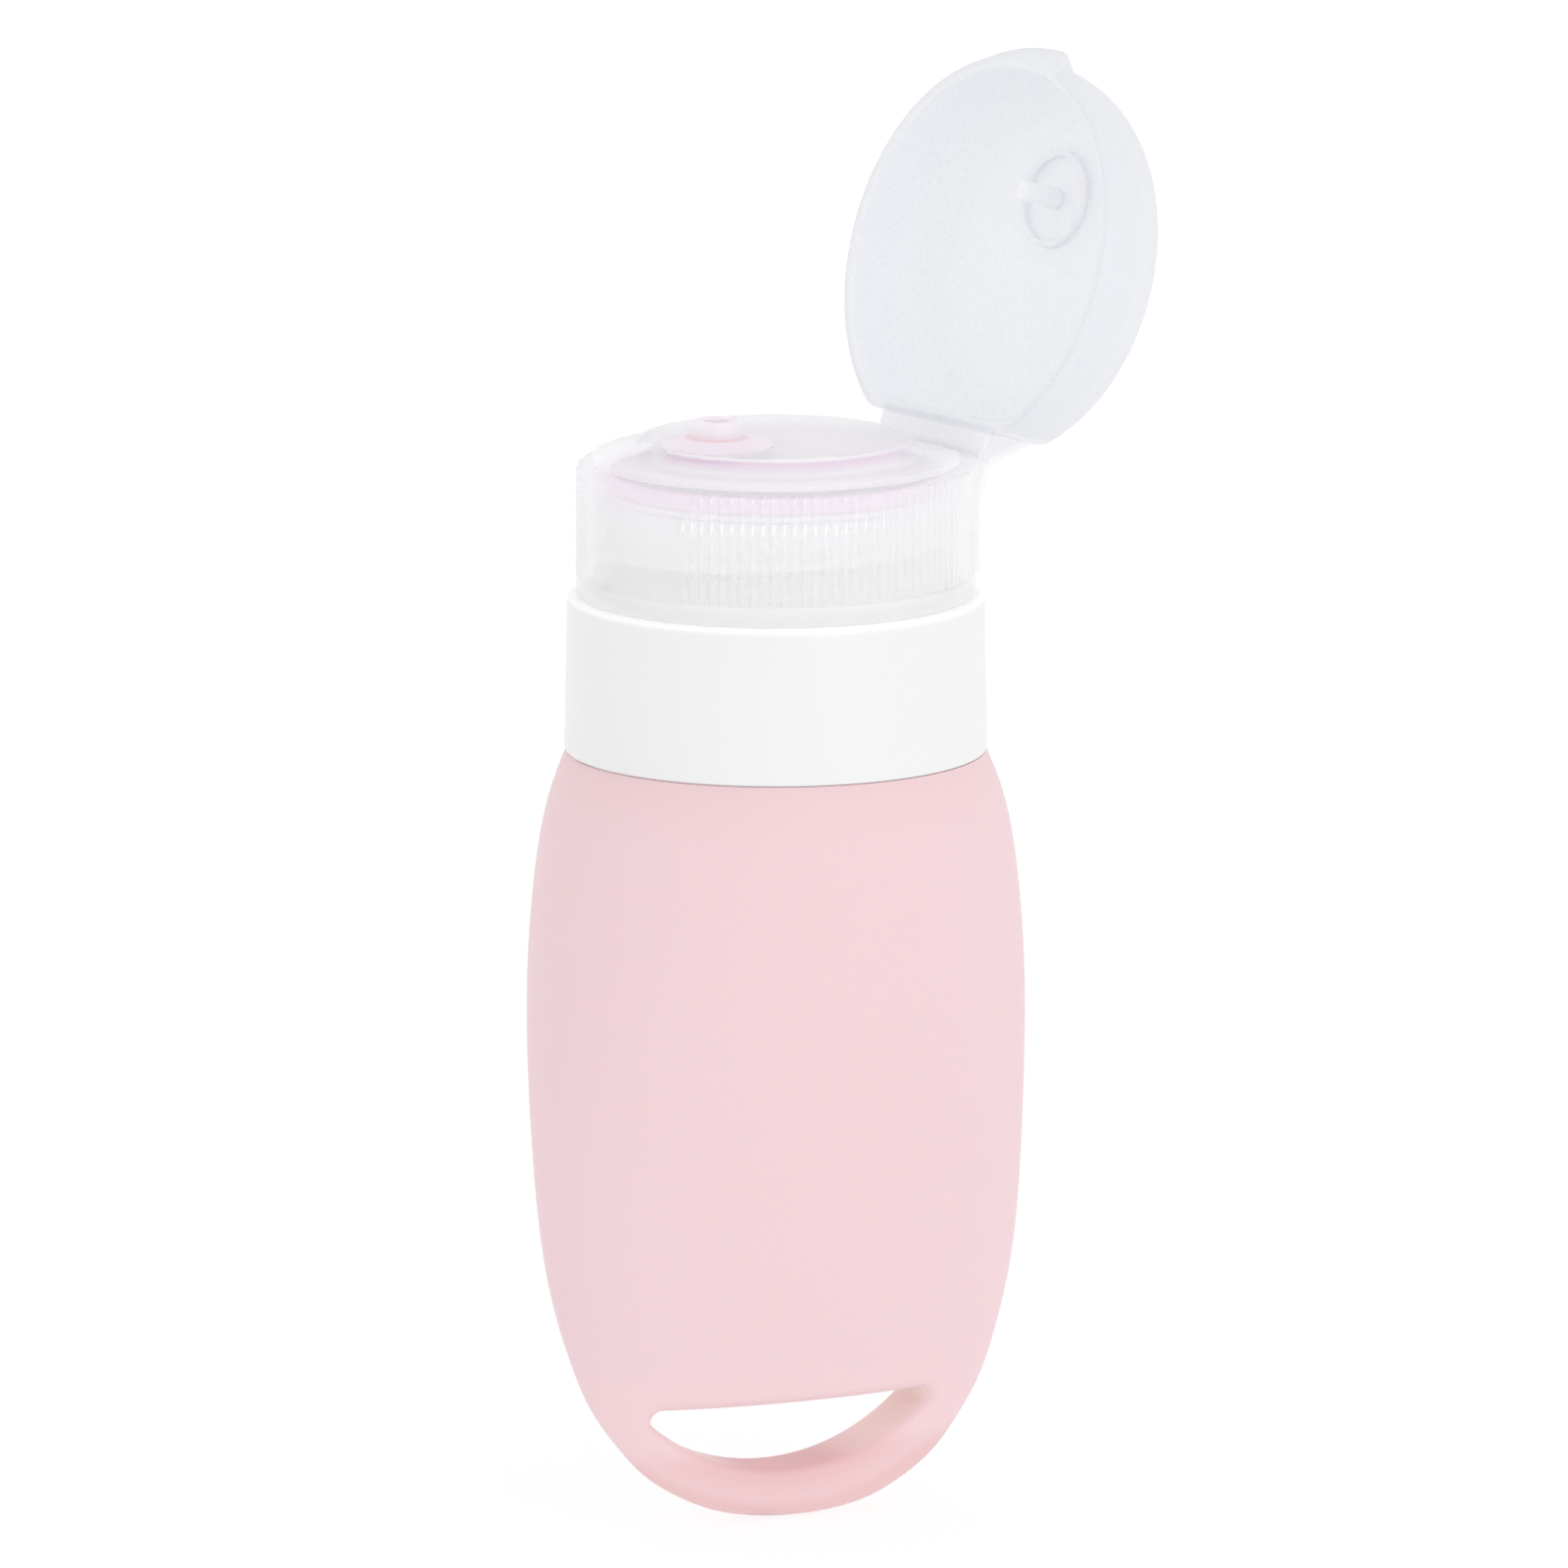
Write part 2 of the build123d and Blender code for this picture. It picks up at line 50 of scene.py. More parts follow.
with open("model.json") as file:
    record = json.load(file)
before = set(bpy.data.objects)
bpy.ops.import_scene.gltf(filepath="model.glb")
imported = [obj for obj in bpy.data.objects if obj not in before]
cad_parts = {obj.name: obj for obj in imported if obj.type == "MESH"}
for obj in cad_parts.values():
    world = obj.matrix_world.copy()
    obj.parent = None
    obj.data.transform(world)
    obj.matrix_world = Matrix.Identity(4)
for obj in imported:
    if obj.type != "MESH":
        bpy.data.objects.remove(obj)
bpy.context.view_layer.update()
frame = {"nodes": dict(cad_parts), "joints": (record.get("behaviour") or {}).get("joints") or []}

# Places that the frame gives, in metres
FOOT_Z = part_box("bottle_body")[0].z
NECK_TOP_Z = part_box("bottle_body")[1].z
SHOULDER_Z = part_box("collar_ring")[0].z
COLLAR_TOP_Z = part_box("collar_ring")[1].z
COLLAR_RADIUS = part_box("collar_ring")[1].x
SKIRT_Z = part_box("cap_shell")[0].z
BOSS_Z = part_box("cap_shell")[1].z
FLANGE_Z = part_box("valve")[0].z
NOZZLE_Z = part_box("valve")[1].z
LID_JOINT = next(joint for joint in frame["joints"] if joint["name"] == "lid_flip")
HINGE = np.array(LID_JOINT["pos_m"])
PARTING_Z = HINGE[2]
HINGE_REACH = math.hypot(HINGE[0], HINGE[1])
CAP_TURNED = math.atan2(HINGE[1], HINGE[0])
LID_OPEN = math.radians(-LID_JOINT["range_deg"][0])

# The body's oval sections: height as a share of the body's height, half width as a share of the widest
# half width, and half depth as a share of the shoulder's radius.
BODY_SHARES = np.array([
    (0.0, 0.0, 0.0),
    (0.008, 0.250, 0.095),
    (0.029, 0.430, 0.150),
    (0.061, 0.585, 0.180),
    (0.105, 0.708, 0.235),
    (0.157, 0.812, 0.300),
    (0.221, 0.887, 0.400),
    (0.300, 0.948, 0.520),
    (0.400, 0.986, 0.650),
    (0.520, 1.0, 0.780),
    (0.640, 1.0, 0.888),
    (0.740, 0.985, 0.955),
    (0.830, 0.955, 0.992),
    (0.900, 0.918, 1.005),
    (0.955, 0.868, 1.004),
])
# Columns of the body's skin along the slot's floor, its corner and the two stretches of its ceiling, and
# the heights on the body's outline that the ends of the floor and of the corner face
SKIN_COUNTS = (48, 24, 72, 24)
SKIN_STOPS = (-0.0010, 0.0090)
# Rows of the same skin, on the slot's wall, round its rim and out to the body's edge
WALL_ROWS, RIM_ROWS, SHEET_ROWS = 5, 9, 80

# Steps in a whole turn of each round surface
COLLAR_STEPS, VALVE_STEPS, STEPS_PER_RIB, LID_STEPS, RING_STEPS, PIN_STEPS = 240, 160, 6, 400, 100, 25

QUARTER, WHOLE = math.pi / 2, 2 * math.pi
# Points closer than this are one, and edges that bend more than this show as edges
WELD = 2e-6
SHARP = math.radians(38)

# Colours that no user would change: plain white, which the painted highlights and painted light also take,
# silicone with light behind it, and the floor's own
WHITE = (1, 1, 1)
LIT = (1, 0.90, 0.83)
FLOOR_WHITE = (0.9, 0.9, 0.9)

# The floor's glow and reach, and the lamp's size, place and target
FLOOR_GLOW = 1.045
FLOOR_REACH = 4.0
LAMP_SIZE = (0.5, 0.7)
LAMP_PLACE = (0.12, -0.90, 0.38)
LAMP_TARGET = (0, 0, 0.05)


def length(name, description, default):
    """Property for one length in metres."""
    return FloatProperty(
        name=name, description=description, default=default, min=0.0, precision=5, unit="LENGTH"
    )


def colour(name, description, default):
    """Property for one linear colour."""
    return FloatVectorProperty(
        name=name, description=description, default=default, size=3, min=0.0, max=1.0, subtype="COLOR"
    )


def share(name, description, default):
    """Property for one number from nought to one."""
    return FloatProperty(
        name=name, description=description, default=default, min=0.0, max=1.0, subtype="FACTOR"
    )


class BOTTLE_PG_body(bpy.types.PropertyGroup):
    """Sizes of the soft body and of its hanging slot."""

    half_width: length("Half width", "Half of the body's greatest width", 0.0262)
    shoulder_radius: length("Shoulder radius", "Radius of the body under the collar", 0.0211)
    wall: length("Wall", "Thickness of the body's wall", 0.0016)
    floor: length("Floor", "Silicone between the slot and the hollow", 0.0034)
    neck_radius: length("Neck radius", "Outside of the soft neck in the collar", 0.0194)
    neck_bore: length("Neck bore", "Inside of the soft neck", 0.0172)
    slot_height: length("Slot height", "Height of the hanging slot", 0.0072)
    slot_length: length("Slot length", "Length of the hanging slot", 0.031)
    slot_corner: length("Slot corner", "Rounding of the slot's ends", 0.001)
    rim: length("Slot rim", "Rounding where the slot breaks out of the body", 0.0017)
    lean: length("Lean", "How far the soft foot leans to one side", 0.0018)
    sag: length("Sag", "How far the soft foot hangs below its nominal height", 0.0005)


class BOTTLE_PG_cap(bpy.types.PropertyGroup):
    """Sizes of the collar and the screw cap."""

    collar_wall: length("Collar wall", "Thickness of the collar", 0.0018)
    collar_taper: length("Collar taper", "How much narrower the collar is at its top", 0.0003)
    collar_lip: length("Collar lip", "Height of the collar's inward lip", 0.0007)
    collar_lip_reach: length("Lip reach", "How far the collar's lip reaches inwards", 0.0015)
    skirt_radius: length("Skirt radius", "Outside of the ribbed skirt", 0.020)
    skirt_wall: length("Skirt wall", "Thickness of the skirt", 0.0017)
    plain_band: length("Plain band", "Height of the skirt's plain foot", 0.0018)
    foot_drop: length("Foot drop", "How far the skirt's foot closes the gap over the collar", 0.00029)
    shoulder_width: length("Shoulder width", "Width of the rounded shoulder over the skirt", 0.0015)
    shoulder_rise: length("Shoulder rise", "Height of the rounded shoulder", 0.0009)
    disc_radius: length("Disc radius", "Outside of the raised disc", 0.0184)
    disc_rise: length("Disc rise", "Height of the raised disc", 0.0007)
    disc_flat: length("Disc flat", "Distance from the axis to the disc's flat at the hinge", 0.0158)
    boss_base: length("Boss foot", "Radius of the boss at its foot", 0.0147)
    boss_top: length("Boss top", "Radius of the boss at its top", 0.0135)
    boss_roof: length("Boss roof", "Thickness of the boss's roof", 0.0009)
    boss_wall: length("Boss wall", "Thickness of the boss's wall", 0.001)
    rib_depth: length("Rib depth", "How far a rib stands out", 0.00035)
    rib_count: IntProperty(name="Ribs", description="Ribs in a whole turn", default=120, min=12)
    patch_width: length("Thumb patch", "Width of the smooth patch under the thumb", 0.0161)
    patch_top: length("Patch top", "Width of the smooth patch at its top", 0.0192)
    patch_slant: length("Patch slant", "Height of the patch's slanted ends", 0.0025)
    pad_rise: length("Pad rise", "How far the hinge pad stands out", 0.0008)
    pad_width: length("Pad width", "Width of the hinge pad", 0.018)
    pad_gap: length("Pad gap", "Plain skirt under the hinge pad", 0.001)
    thread_height: length("Thread height", "Depth of the cap's screw ridge", 0.001)
    thread_base: length("Thread base", "Width of the screw ridge at its foot", 0.0016)
    thread_crest: length("Thread crest", "Width of the screw ridge at its crest", 0.0008)
    thread_pitch: length("Thread pitch", "Rise of the screw ridge in one turn", 0.004)
    thread_start: length("Thread start", "Height of the screw ridge's start over the skirt's foot", 0.0013)
    thread_turns: FloatProperty(
        name="Thread turns", description="Turns of the screw ridge", default=1.5, min=0.5
    )


class BOTTLE_PG_valve(bpy.types.PropertyGroup):
    """Sizes of the soft valve and its nozzle."""

    flange_radius: length("Flange radius", "Outside of the sealing flange", 0.017)
    flange: length("Flange", "Thickness of the sealing flange", 0.0018)
    wall: length("Wall", "Thickness of the valve's wall and roof", 0.0011)
    clearance: length("Clearance", "Room between the valve and the boss", 0.0001)
    offset: length("Nozzle offset", "Distance of the nozzle from the cap's axis", 0.0074)
    cone_radius: length("Cone radius", "Radius of the nozzle's cone at its foot", 0.0058)
    cone_top: length("Cone top", "Radius of the nozzle's cone at its top", 0.0034)
    cone_rise: length("Cone rise", "Height of the cone over the boss", 0.00075)
    hole_clearance: length("Hole clearance", "Room round the cone in the boss's hole", 0.00001)
    hole_taper: length("Hole taper", "How much narrower the boss's hole is at its underside", 0.00095)
    nozzle_radius: length("Nozzle radius", "Outside of the nozzle", 0.0026)
    bore_radius: length("Bore radius", "Radius of the nozzle's bore", 0.00125)


class BOTTLE_PG_lid(bpy.types.PropertyGroup):
    """Sizes of the flip lid and its hinge."""

    radius: length("Radius", "Outside of the lid's wall", 0.0204)
    height: length("Height", "Height of the closed lid", 0.0099)
    wall: length("Wall", "Thickness of the lid", 0.0012)
    straight: length("Upright wall", "Height of the lid's upright wall", 0.0032)
    shoulder: length("Shoulder", "Width of the lid's curved shoulder", 0.0055)
    gap: length("Gap", "Room between the shut lid and the cap", 0.0001)
    chord: length("Straight wall", "Distance from the axis to the lid's straight wall", 0.0172)
    rim: length("Rim", "Rounding of the lid's rim", 0.0003)
    corner: length("Corner", "Rounding where the straight wall meets the dome", 0.0006)
    lip_reach: length("Lip reach", "Distance from the axis to the thumb lip's edge", 0.02175)
    lip_end: length("Lip end", "Distance from the middle to the end of the thumb lip", 0.0062)
    lip_height: length("Lip height", "Height of the thumb lip", 0.0028)
    lip_bend: FloatProperty(
        name="Lip bend", description="How fast the lip's edge runs back on its other side, per metre",
        default=18.5, min=0.0,
    )
    plug_radius: length("Plug radius", "Outside of the ring under the crown", 0.005)
    plug_wall: length("Plug wall", "Thickness of that ring", 0.0006)
    plug_rise: length("Plug rise", "How far the ring stands off the crown's inside", 0.0007)
    pin_clearance: length("Pin clearance", "Room round the pin in the nozzle's bore", 0.0002)
    pin_depth: length("Pin depth", "How far the pin enters the nozzle", 0.0009)
    strap_width: length("Strap width", "Width of the hinge's spring strap", 0.012)
    strap_thickness: length("Strap thickness", "Thickness of the spring strap", 0.0007)
    strap_foot: length("Strap foot", "Height of the strap's foot on the pad", 0.003)
    strap_drop: length("Strap drop", "Depth of the strap's foot under the fold line", 0.0046)
    strap_bulge: length("Strap bulge", "How far the strap's fold stands off the pad", 0.0014)
    strap_fold: length("Strap fold", "How far the strap's fold lies under the fold line", 0.0018)
    strap_reach: length("Strap reach", "Where the strap ends on the lid's straight wall", 0.0077)
    film_radius: length("Film radius", "Half thickness of the hinge's film", 0.0003)
    film_inset: length("Film inset", "Distance of the film and the web from the pad's ends", 0.0004)
    web_tip: length("Web tip", "Thickness of the hinge's web at the fold line", 0.00035)
    web_root: length("Web root", "Thickness of the hinge's web at the lid's wall", 0.0012)


class BOTTLE_PG_finish(bpy.types.PropertyGroup):
    """Colours and finishes."""

    silicone: colour("Silicone", "Colour of the soft body", (0.838, 0.614, 0.646))
    silicone_cloud: colour("Silicone cloud", "Second tone of the soft body", (0.850, 0.632, 0.664))
    # Painted shade: the deeper colour that the body takes under the slot and under the collar
    loop: colour("Loop", "Colour of the soft body where it is solid", (0.80, 0.530, 0.540))
    valve: colour("Valve", "Colour of the soft valve in its depth", (0.84, 0.56, 0.80))
    valve_pale: colour("Valve edge", "Colour of the soft valve where it is thin", (0.965, 0.928, 0.96))
    valve_ring: colour("Valve ring", "Colour of the ring at the nozzle's root", (0.95, 0.40, 0.48))
    # Painted glow: the pink that the cap's boss takes where the valve behind it shows through its edge
    blush: colour("Blush", "Colour that the soft valve gives the boss in front of it", (0.91, 0.66, 0.88))
    collar: colour("Collar", "Colour of the collar", (0.845, 0.845, 0.850))
    neck: colour("Neck", "Colour of the neck insert", (0.90, 0.90, 0.90))
    plastic: colour("Cap", "Colour of the translucent cap", (0.925, 0.928, 0.935))
    lid: colour("Lid", "Colour of the translucent lid", (0.850, 0.857, 0.882))
    # Painted shade: the darker colour that the outside of the lid's dome takes towards its edge
    lid_shade: colour("Lid edge", "Colour of the lid's curved wall, seen edge on", (0.745, 0.755, 0.785))
    clarity: share("Cap clarity", "How much light goes straight on through a face of the cap", 0.62)
    lid_clarity: share("Lid clarity", "How much light goes straight on through a face of the lid", 0.4)
    spread: share("Spread", "How much light a milky face spreads to its other side", 0.22)
    # Painted glow: emission in the cap's and the lid's walls that stands in for light scattered inside them
    cap_lift: share("Cap lift", "Light scattered inside the cap's wall", 0.125)
    lid_glow: share("Lid lift", "Light scattered inside the lid's wall", 0.06)


class BOTTLE_PG_stage(bpy.types.PropertyGroup):
    """Camera, lamps and floor."""

    azimuth: FloatProperty(
        name="Azimuth", description="Camera's angle round the bottle", default=math.radians(-25.0),
        subtype="ANGLE",
    )
    elevation: FloatProperty(
        name="Elevation", description="Camera's angle over the horizon", default=math.radians(10.8),
        subtype="ANGLE",
    )
    lens: FloatProperty(name="Lens", description="Focal length in millimetres", default=500.0, min=10.0)
    sensor: FloatProperty(name="Sensor", description="Sensor width in millimetres", default=36.0, min=1.0)
    frame_width: length("Frame width", "Width of the picture at the bottle", 0.1573)
    target_height: length("Target height", "Height at the picture's middle", 0.06605)
    target_side: length("Target side", "How far right of the axis the picture's middle lies", 0.00083)
    sky: FloatProperty(name="Sky", description="Strength of the even light", default=0.96, min=0.0)
    key: FloatProperty(name="Key lamp", description="Power of the lamp in watts", default=1.1, min=0.0)
    floor_glow: share("Floor glow", "Share of the floor's white that takes no shadow", 0.80)


class BOTTLE_PG_all(bpy.types.PropertyGroup):
    """All groups of the bottle."""

    body: PointerProperty(type=BOTTLE_PG_body, name="Body", description="Sizes of the soft body")
    cap: PointerProperty(type=BOTTLE_PG_cap, name="Cap", description="Sizes of the collar and the cap")
    valve: PointerProperty(type=BOTTLE_PG_valve, name="Valve", description="Sizes of the soft valve")
    lid: PointerProperty(type=BOTTLE_PG_lid, name="Lid", description="Sizes of the lid and its hinge")
    finish: PointerProperty(type=BOTTLE_PG_finish, name="Finish", description="Colours and finishes")
    stage: PointerProperty(type=BOTTLE_PG_stage, name="Stage", description="Camera, lamps and floor")


def settings(context):
    """The scene's sizes and finishes, which every operator reads."""
    found = getattr(context.scene, "squeeze_bottle", None)
    if found is None:
        raise RuntimeError("register this file before its operators are called")
    return found


def spline(x, y, at):
    """Natural cubic spline through every (x, y), with slope and curvature that run on, at some places."""
    step, count = np.diff(x), len(x)
    inner = np.arange(1, count - 1)
    matrix = np.eye(count)
    matrix[inner, inner - 1] = step[:-1]
    matrix[inner, inner] = 2 * (step[:-1] + step[1:])
    matrix[inner, inner + 1] = step[1:]
    right = np.zeros(count)
    right[1:-1] = 6 * np.diff(np.diff(y) / step)
    bend = np.linalg.solve(matrix, right)
    i = np.clip(np.searchsorted(x, at) - 1, 0, count - 2)
    value, gap = 0, step[i]
    for near, run in ((i, x[i + 1] - at), (i + 1, at - x[i])):
        value = value + bend[near] * run**3 / (6 * gap) + (y[near] / gap - bend[near] * gap / 6) * run
    return value


def eased(value):
    """Smooth step: 0 below nought, 1 above one, 3v^2 - 2v^3 between."""
    value = np.clip(value, 0, 1)
    return value * value * (3 - 2 * value)


def bell(value, middle, width, power=2):
    """Bell curve: exp(-((value - middle) / width)^power), which is 1 at the middle."""
    return np.exp(-(((value - middle) / width) ** power))


def lesser(first, second, blend):
    """Smooth minimum: the lesser of two values, eased by up to a quarter of blend where they are close."""
    closeness = np.maximum(blend - np.abs(first - second), 0) / blend
    return np.minimum(first, second) - closeness * closeness * blend / 4


def stacked(*parts):
    """Points from their coordinates, each spread over the shape that they share."""
    return np.stack(np.broadcast_arrays(*parts), axis=-1)


def softened(corners, closed, steps=6):
    """Profile of rows (shift, radius, height) with rounded corners. A corner P with rounding d becomes the
    curve (1-t)^2 A + 2t(1-t) P + t^2 B, where A and B lie d before and d after P."""
    rows = np.asarray(corners, float)
    points, rounding = rows[:, :3], rows[:, 3].copy()
    before = np.roll(points, 1, axis=0) - points
    after = np.roll(points, -1, axis=0) - points
    if not closed:
        rounding[[0, -1]] = 0
    reach = np.linalg.norm(before, axis=1), np.linalg.norm(after, axis=1)
    cut = np.minimum(rounding, 0.45 * np.minimum(*reach))[:, None]
    start = points + before / reach[0][:, None] * cut
    end = points + after / reach[1][:, None] * cut
    t = np.linspace(0, 1, steps)[None, :, None]
    curve = (1 - t) ** 2 * start[:, None] + 2 * t * (1 - t) * points[:, None] + t**2 * end[:, None]
    curve = curve.reshape(-1, 3)
    return curve[np.linalg.norm(curve - np.roll(curve, 1, axis=0), axis=1) > WELD]


def refined(profile, longest, closed):
    """Profile with points added in even steps, so that no step is longer than longest."""
    ends = np.roll(profile, -1, axis=0) if closed else profile[1:]
    starts = profile if closed else profile[:-1]
    counts = np.ceil(np.linalg.norm(ends - starts, axis=1) / longest).astype(int)
    index = np.repeat(np.arange(len(starts)), counts)
    first = np.repeat(np.cumsum(counts) - counts, counts)
    along = ((np.arange(counts.sum()) - first) / np.repeat(counts, counts))[:, None]
    points = starts[index] + (ends[index] - starts[index]) * along
    return points if closed else np.vstack([points, profile[-1:]])


def circle(count):
    """Angles once round, in even steps."""
    return np.linspace(0, WHOLE, count, endpoint=False)


def round_surface(shift, radius, height, angles):
    """Rows of circles: x = shift + radius cos(angle), y = radius sin(angle), z = height."""
    return stacked(shift + radius * np.cos(angles), radius * np.sin(angles), height)


def turned_profile(corners, angles, closed=True, longest=0.002, steps=6):
    """Surface of revolution of a softened profile."""
    profile = refined(softened(corners, closed, steps), longest, closed)
    return round_surface(profile[:, :1], profile[:, 1:2], profile[:, 2:], angles)


def capped(rows):
    """Rows of points with both ends closed at their middles."""
    ends = rows[[0, -1]].mean(axis=1, keepdims=True) + 0 * rows[[0, -1]]
    return np.concatenate([ends[:1], rows, ends[1:]])


def swept_bar(path, steps, half_thickness, half_width, edge):
    """Flat bar along a path in the plane y = 0: each section is a rounded rectangle, half_thickness along
    the path's normal and half_width along y."""
    tangent = np.gradient(path, axis=0)
    tangent /= np.linalg.norm(tangent, axis=1)[:, None]
    ways = ((1, 1), (-1, 1), (-1, -1), (1, -1))
    corners = [(side * half_thickness, end * half_width, 0, edge) for side, end in ways]
    out, along, _ = refined(softened(corners, True, steps), half_width / 6, True).T
    return capped(stacked(path[:, :1] + tangent[:, 1:] * out, along, path[:, 1:] - tangent[:, :1] * out))


def grid_faces(rows, columns, wrap_rows, wrap_columns):
    """Quads between neighbouring points of a grid, closed round where it wraps."""
    index = np.arange(rows * columns).reshape(rows, columns)
    if wrap_rows:
        index = np.vstack([index, index[:1]])
    if wrap_columns:
        index = np.hstack([index, index[:, :1]])
    return np.stack([index[:-1, :-1], index[:-1, 1:], index[1:, 1:], index[1:, :-1]], -1).reshape(-1, 4)


def about_axis(points, angle):
    """Points turned about the bottle's axis: x cos - y sin and x sin + y cos."""
    cosine, sine = math.cos(angle), math.sin(angle)
    x, y, z = np.moveaxis(points, -1, 0)
    return stacked(x * cosine - y * sine, x * sine + y * cosine, z)


def about_hinge(points, angle):
    """Points in the cap's own frame, turned about the hinge line: x cos + z sin and z cos - x sin there."""
    cosine, sine = math.cos(angle), math.sin(angle)
    x, y, z = np.moveaxis(points, -1, 0)
    x, z = x - HINGE_REACH, z - PARTING_Z
    return stacked(x * cosine + z * sine + HINGE_REACH, y, z * cosine - x * sine + PARTING_Z)


def to_bottle(points):
    """From the cap's own frame, with its hinge on +X, into the bottle's frame."""
    return about_axis(points, CAP_TURNED)


def from_bottle(points):
    """From the bottle's frame into the cap's own."""
    return about_axis(points, -CAP_TURNED)


def to_open(points):
    """From the shut lid's place in the cap's own frame to the open one in the bottle's frame."""
    return to_bottle(about_hinge(points, LID_OPEN))


def from_open(points):
    """From the bottle's frame, with the lid open, back into the shut lid's place in the cap's own frame."""
    return about_hinge(from_bottle(points), -LID_OPEN)


def round_cap(places):
    """Distance from the cap's axis, angle round it in degrees from the hinge, and height of places."""
    x, y, z = from_bottle(places).T
    return np.hypot(x, y), np.degrees(np.arctan2(y, x)), z


def round_nozzle(places, offset):
    """Distance from the nozzle's axis and height of places."""
    x, y, z = from_bottle(places).T
    return np.hypot(x + offset, y), z


def off_rib(degrees, count):
    """How far angles lie from the middle of the nearest rib: 0 there, and 1 halfway to the next rib."""
    return np.abs((degrees * count / 360) % 1 - 0.5) * 2


def new_piece(name, surfaces, material):
    """Object from grids of points (rows, columns, 3), each with whether its rows and its columns wrap."""
    points, faces, first = [], [], 0
    for grid, wrap_rows, wrap_columns in surfaces:
        points.append(grid.reshape(-1, 3))
        faces.append(grid_faces(grid.shape[0], grid.shape[1], wrap_rows, wrap_columns) + first)
        first += len(points[-1])
    mesh = bpy.data.meshes.new(name)
    mesh.from_pydata(np.concatenate(points), [], np.concatenate(faces))
    welded = bmesh.new()
    welded.from_mesh(mesh)
    bmesh.ops.remove_doubles(welded, verts=welded.verts, dist=WELD)
    bmesh.ops.dissolve_degenerate(welded, edges=welded.edges, dist=WELD / 4)
    bmesh.ops.recalc_face_normals(welded, faces=welded.faces)
    welded.to_mesh(mesh)
    welded.free()
    mesh.shade_smooth()
    mesh.set_sharp_from_angle(angle=SHARP)
    mesh.materials.append(material)
    piece = bpy.data.objects.new(name, mesh)
    bpy.context.scene.collection.objects.link(piece)
    return piece


def paint(piece, name, share_at):
    """Paints a share from nought to one on every point, worked out from the points' places."""
    mesh = piece.data
    places = np.empty(3 * len(mesh.vertices), np.float32)
    mesh.vertices.foreach_get("co", places)
    shares = share_at(places.reshape(-1, 3))
    layer = mesh.attributes.new(name, "FLOAT", "POINT")
    layer.data.foreach_set("value", np.clip(shares, 0, 1).astype(np.float32))


def dress(name, material):
    """Gives a node of the frame its material."""
    for slot in frame["nodes"][name].material_slots:
        slot.material = material


def aimed(name, data, place, target):
    """Camera or lamp at a place, turned towards a target."""
    holder = bpy.data.objects.new(name, data)
    holder.location = place
    holder.rotation_mode = "QUATERNION"
    holder.rotation_quaternion = (target - place).to_track_quat("-Z", "Y")
    bpy.context.scene.collection.objects.link(holder)
    return holder


class Nodes:
    """Node tree of a material or a world, with one short call for a node and its links."""

    def __init__(self, owner):
        owner.use_nodes = True
        self.tree = owner.node_tree
        self.tree.nodes.clear()

    def feed(self, node, inputs):
        """Gives each named input of a node a value or a link from another node's output."""
        for key, value in inputs.items():
            if isinstance(value, bpy.types.NodeSocket):
                self.tree.links.new(value, node.inputs[key])
            else:
                node.inputs[key].default_value = value

    def add(self, kind, inputs, output=0, **own):
        """Adds a node with settings of its own, feeds its inputs and returns one of its outputs."""
        node = self.tree.nodes.new(kind)
        for key, value in own.items():
            setattr(node, key, value)
        self.feed(node, inputs)
        return node.outputs[output] if node.outputs else None


class Shading(Nodes):
    """Material with a Principled shader, and short calls for what the finishes share."""

    def __init__(self, name):
        self.material = bpy.data.materials.new(name)
        super().__init__(self.material)
        self.shader = self.tree.nodes.new("ShaderNodeBsdfPrincipled")
        self.place = self.add("ShaderNodeTexCoord", {}, "Object")

    def finished(self, surface=None, **inputs):
        """The material, once the shader is fed and a surface, or else the shader, is put out."""
        self.feed(self.shader, {key.replace("_", " "): value for key, value in inputs.items()})
        self.add("ShaderNodeOutputMaterial", {"Surface": surface or self.shader.outputs[0]})
        return self.material

    def noise(self, scale, detail, roughness=0.5):
        """Noise on the object's own coordinates."""
        inputs = {"Vector": self.place, "Scale": scale, "Detail": detail, "Roughness": roughness}
        return self.add("ShaderNodeTexNoise", inputs, "Fac")

    def painted(self, name):
        """Share that is painted on the mesh under a name."""
        return self.add("ShaderNodeAttribute", {}, "Fac", attribute_name=name)

    def mixed(self, factor, first, second):
        """Mix of two colours by a factor. The first may come from another node."""
        first = first if isinstance(first, bpy.types.NodeSocket) else (*first, 1)
        return self.add("ShaderNodeMix", {0: factor, 6: first, 7: (*second, 1)}, 2, data_type="RGBA")

    def ranged(self, value, low, high):
        """A value from nought to one, taken to the range from low to high."""
        return self.add("ShaderNodeMapRange", {"Value": value, "To Min": low, "To Max": high})

    def bump(self, height, distance, strength, under=None):
        """Bump from a height, over another bump if one is given."""
        inputs = {"Height": height, "Distance": distance, "Strength": strength}
        return self.add("ShaderNodeBump", inputs if under is None else {**inputs, "Normal": under})


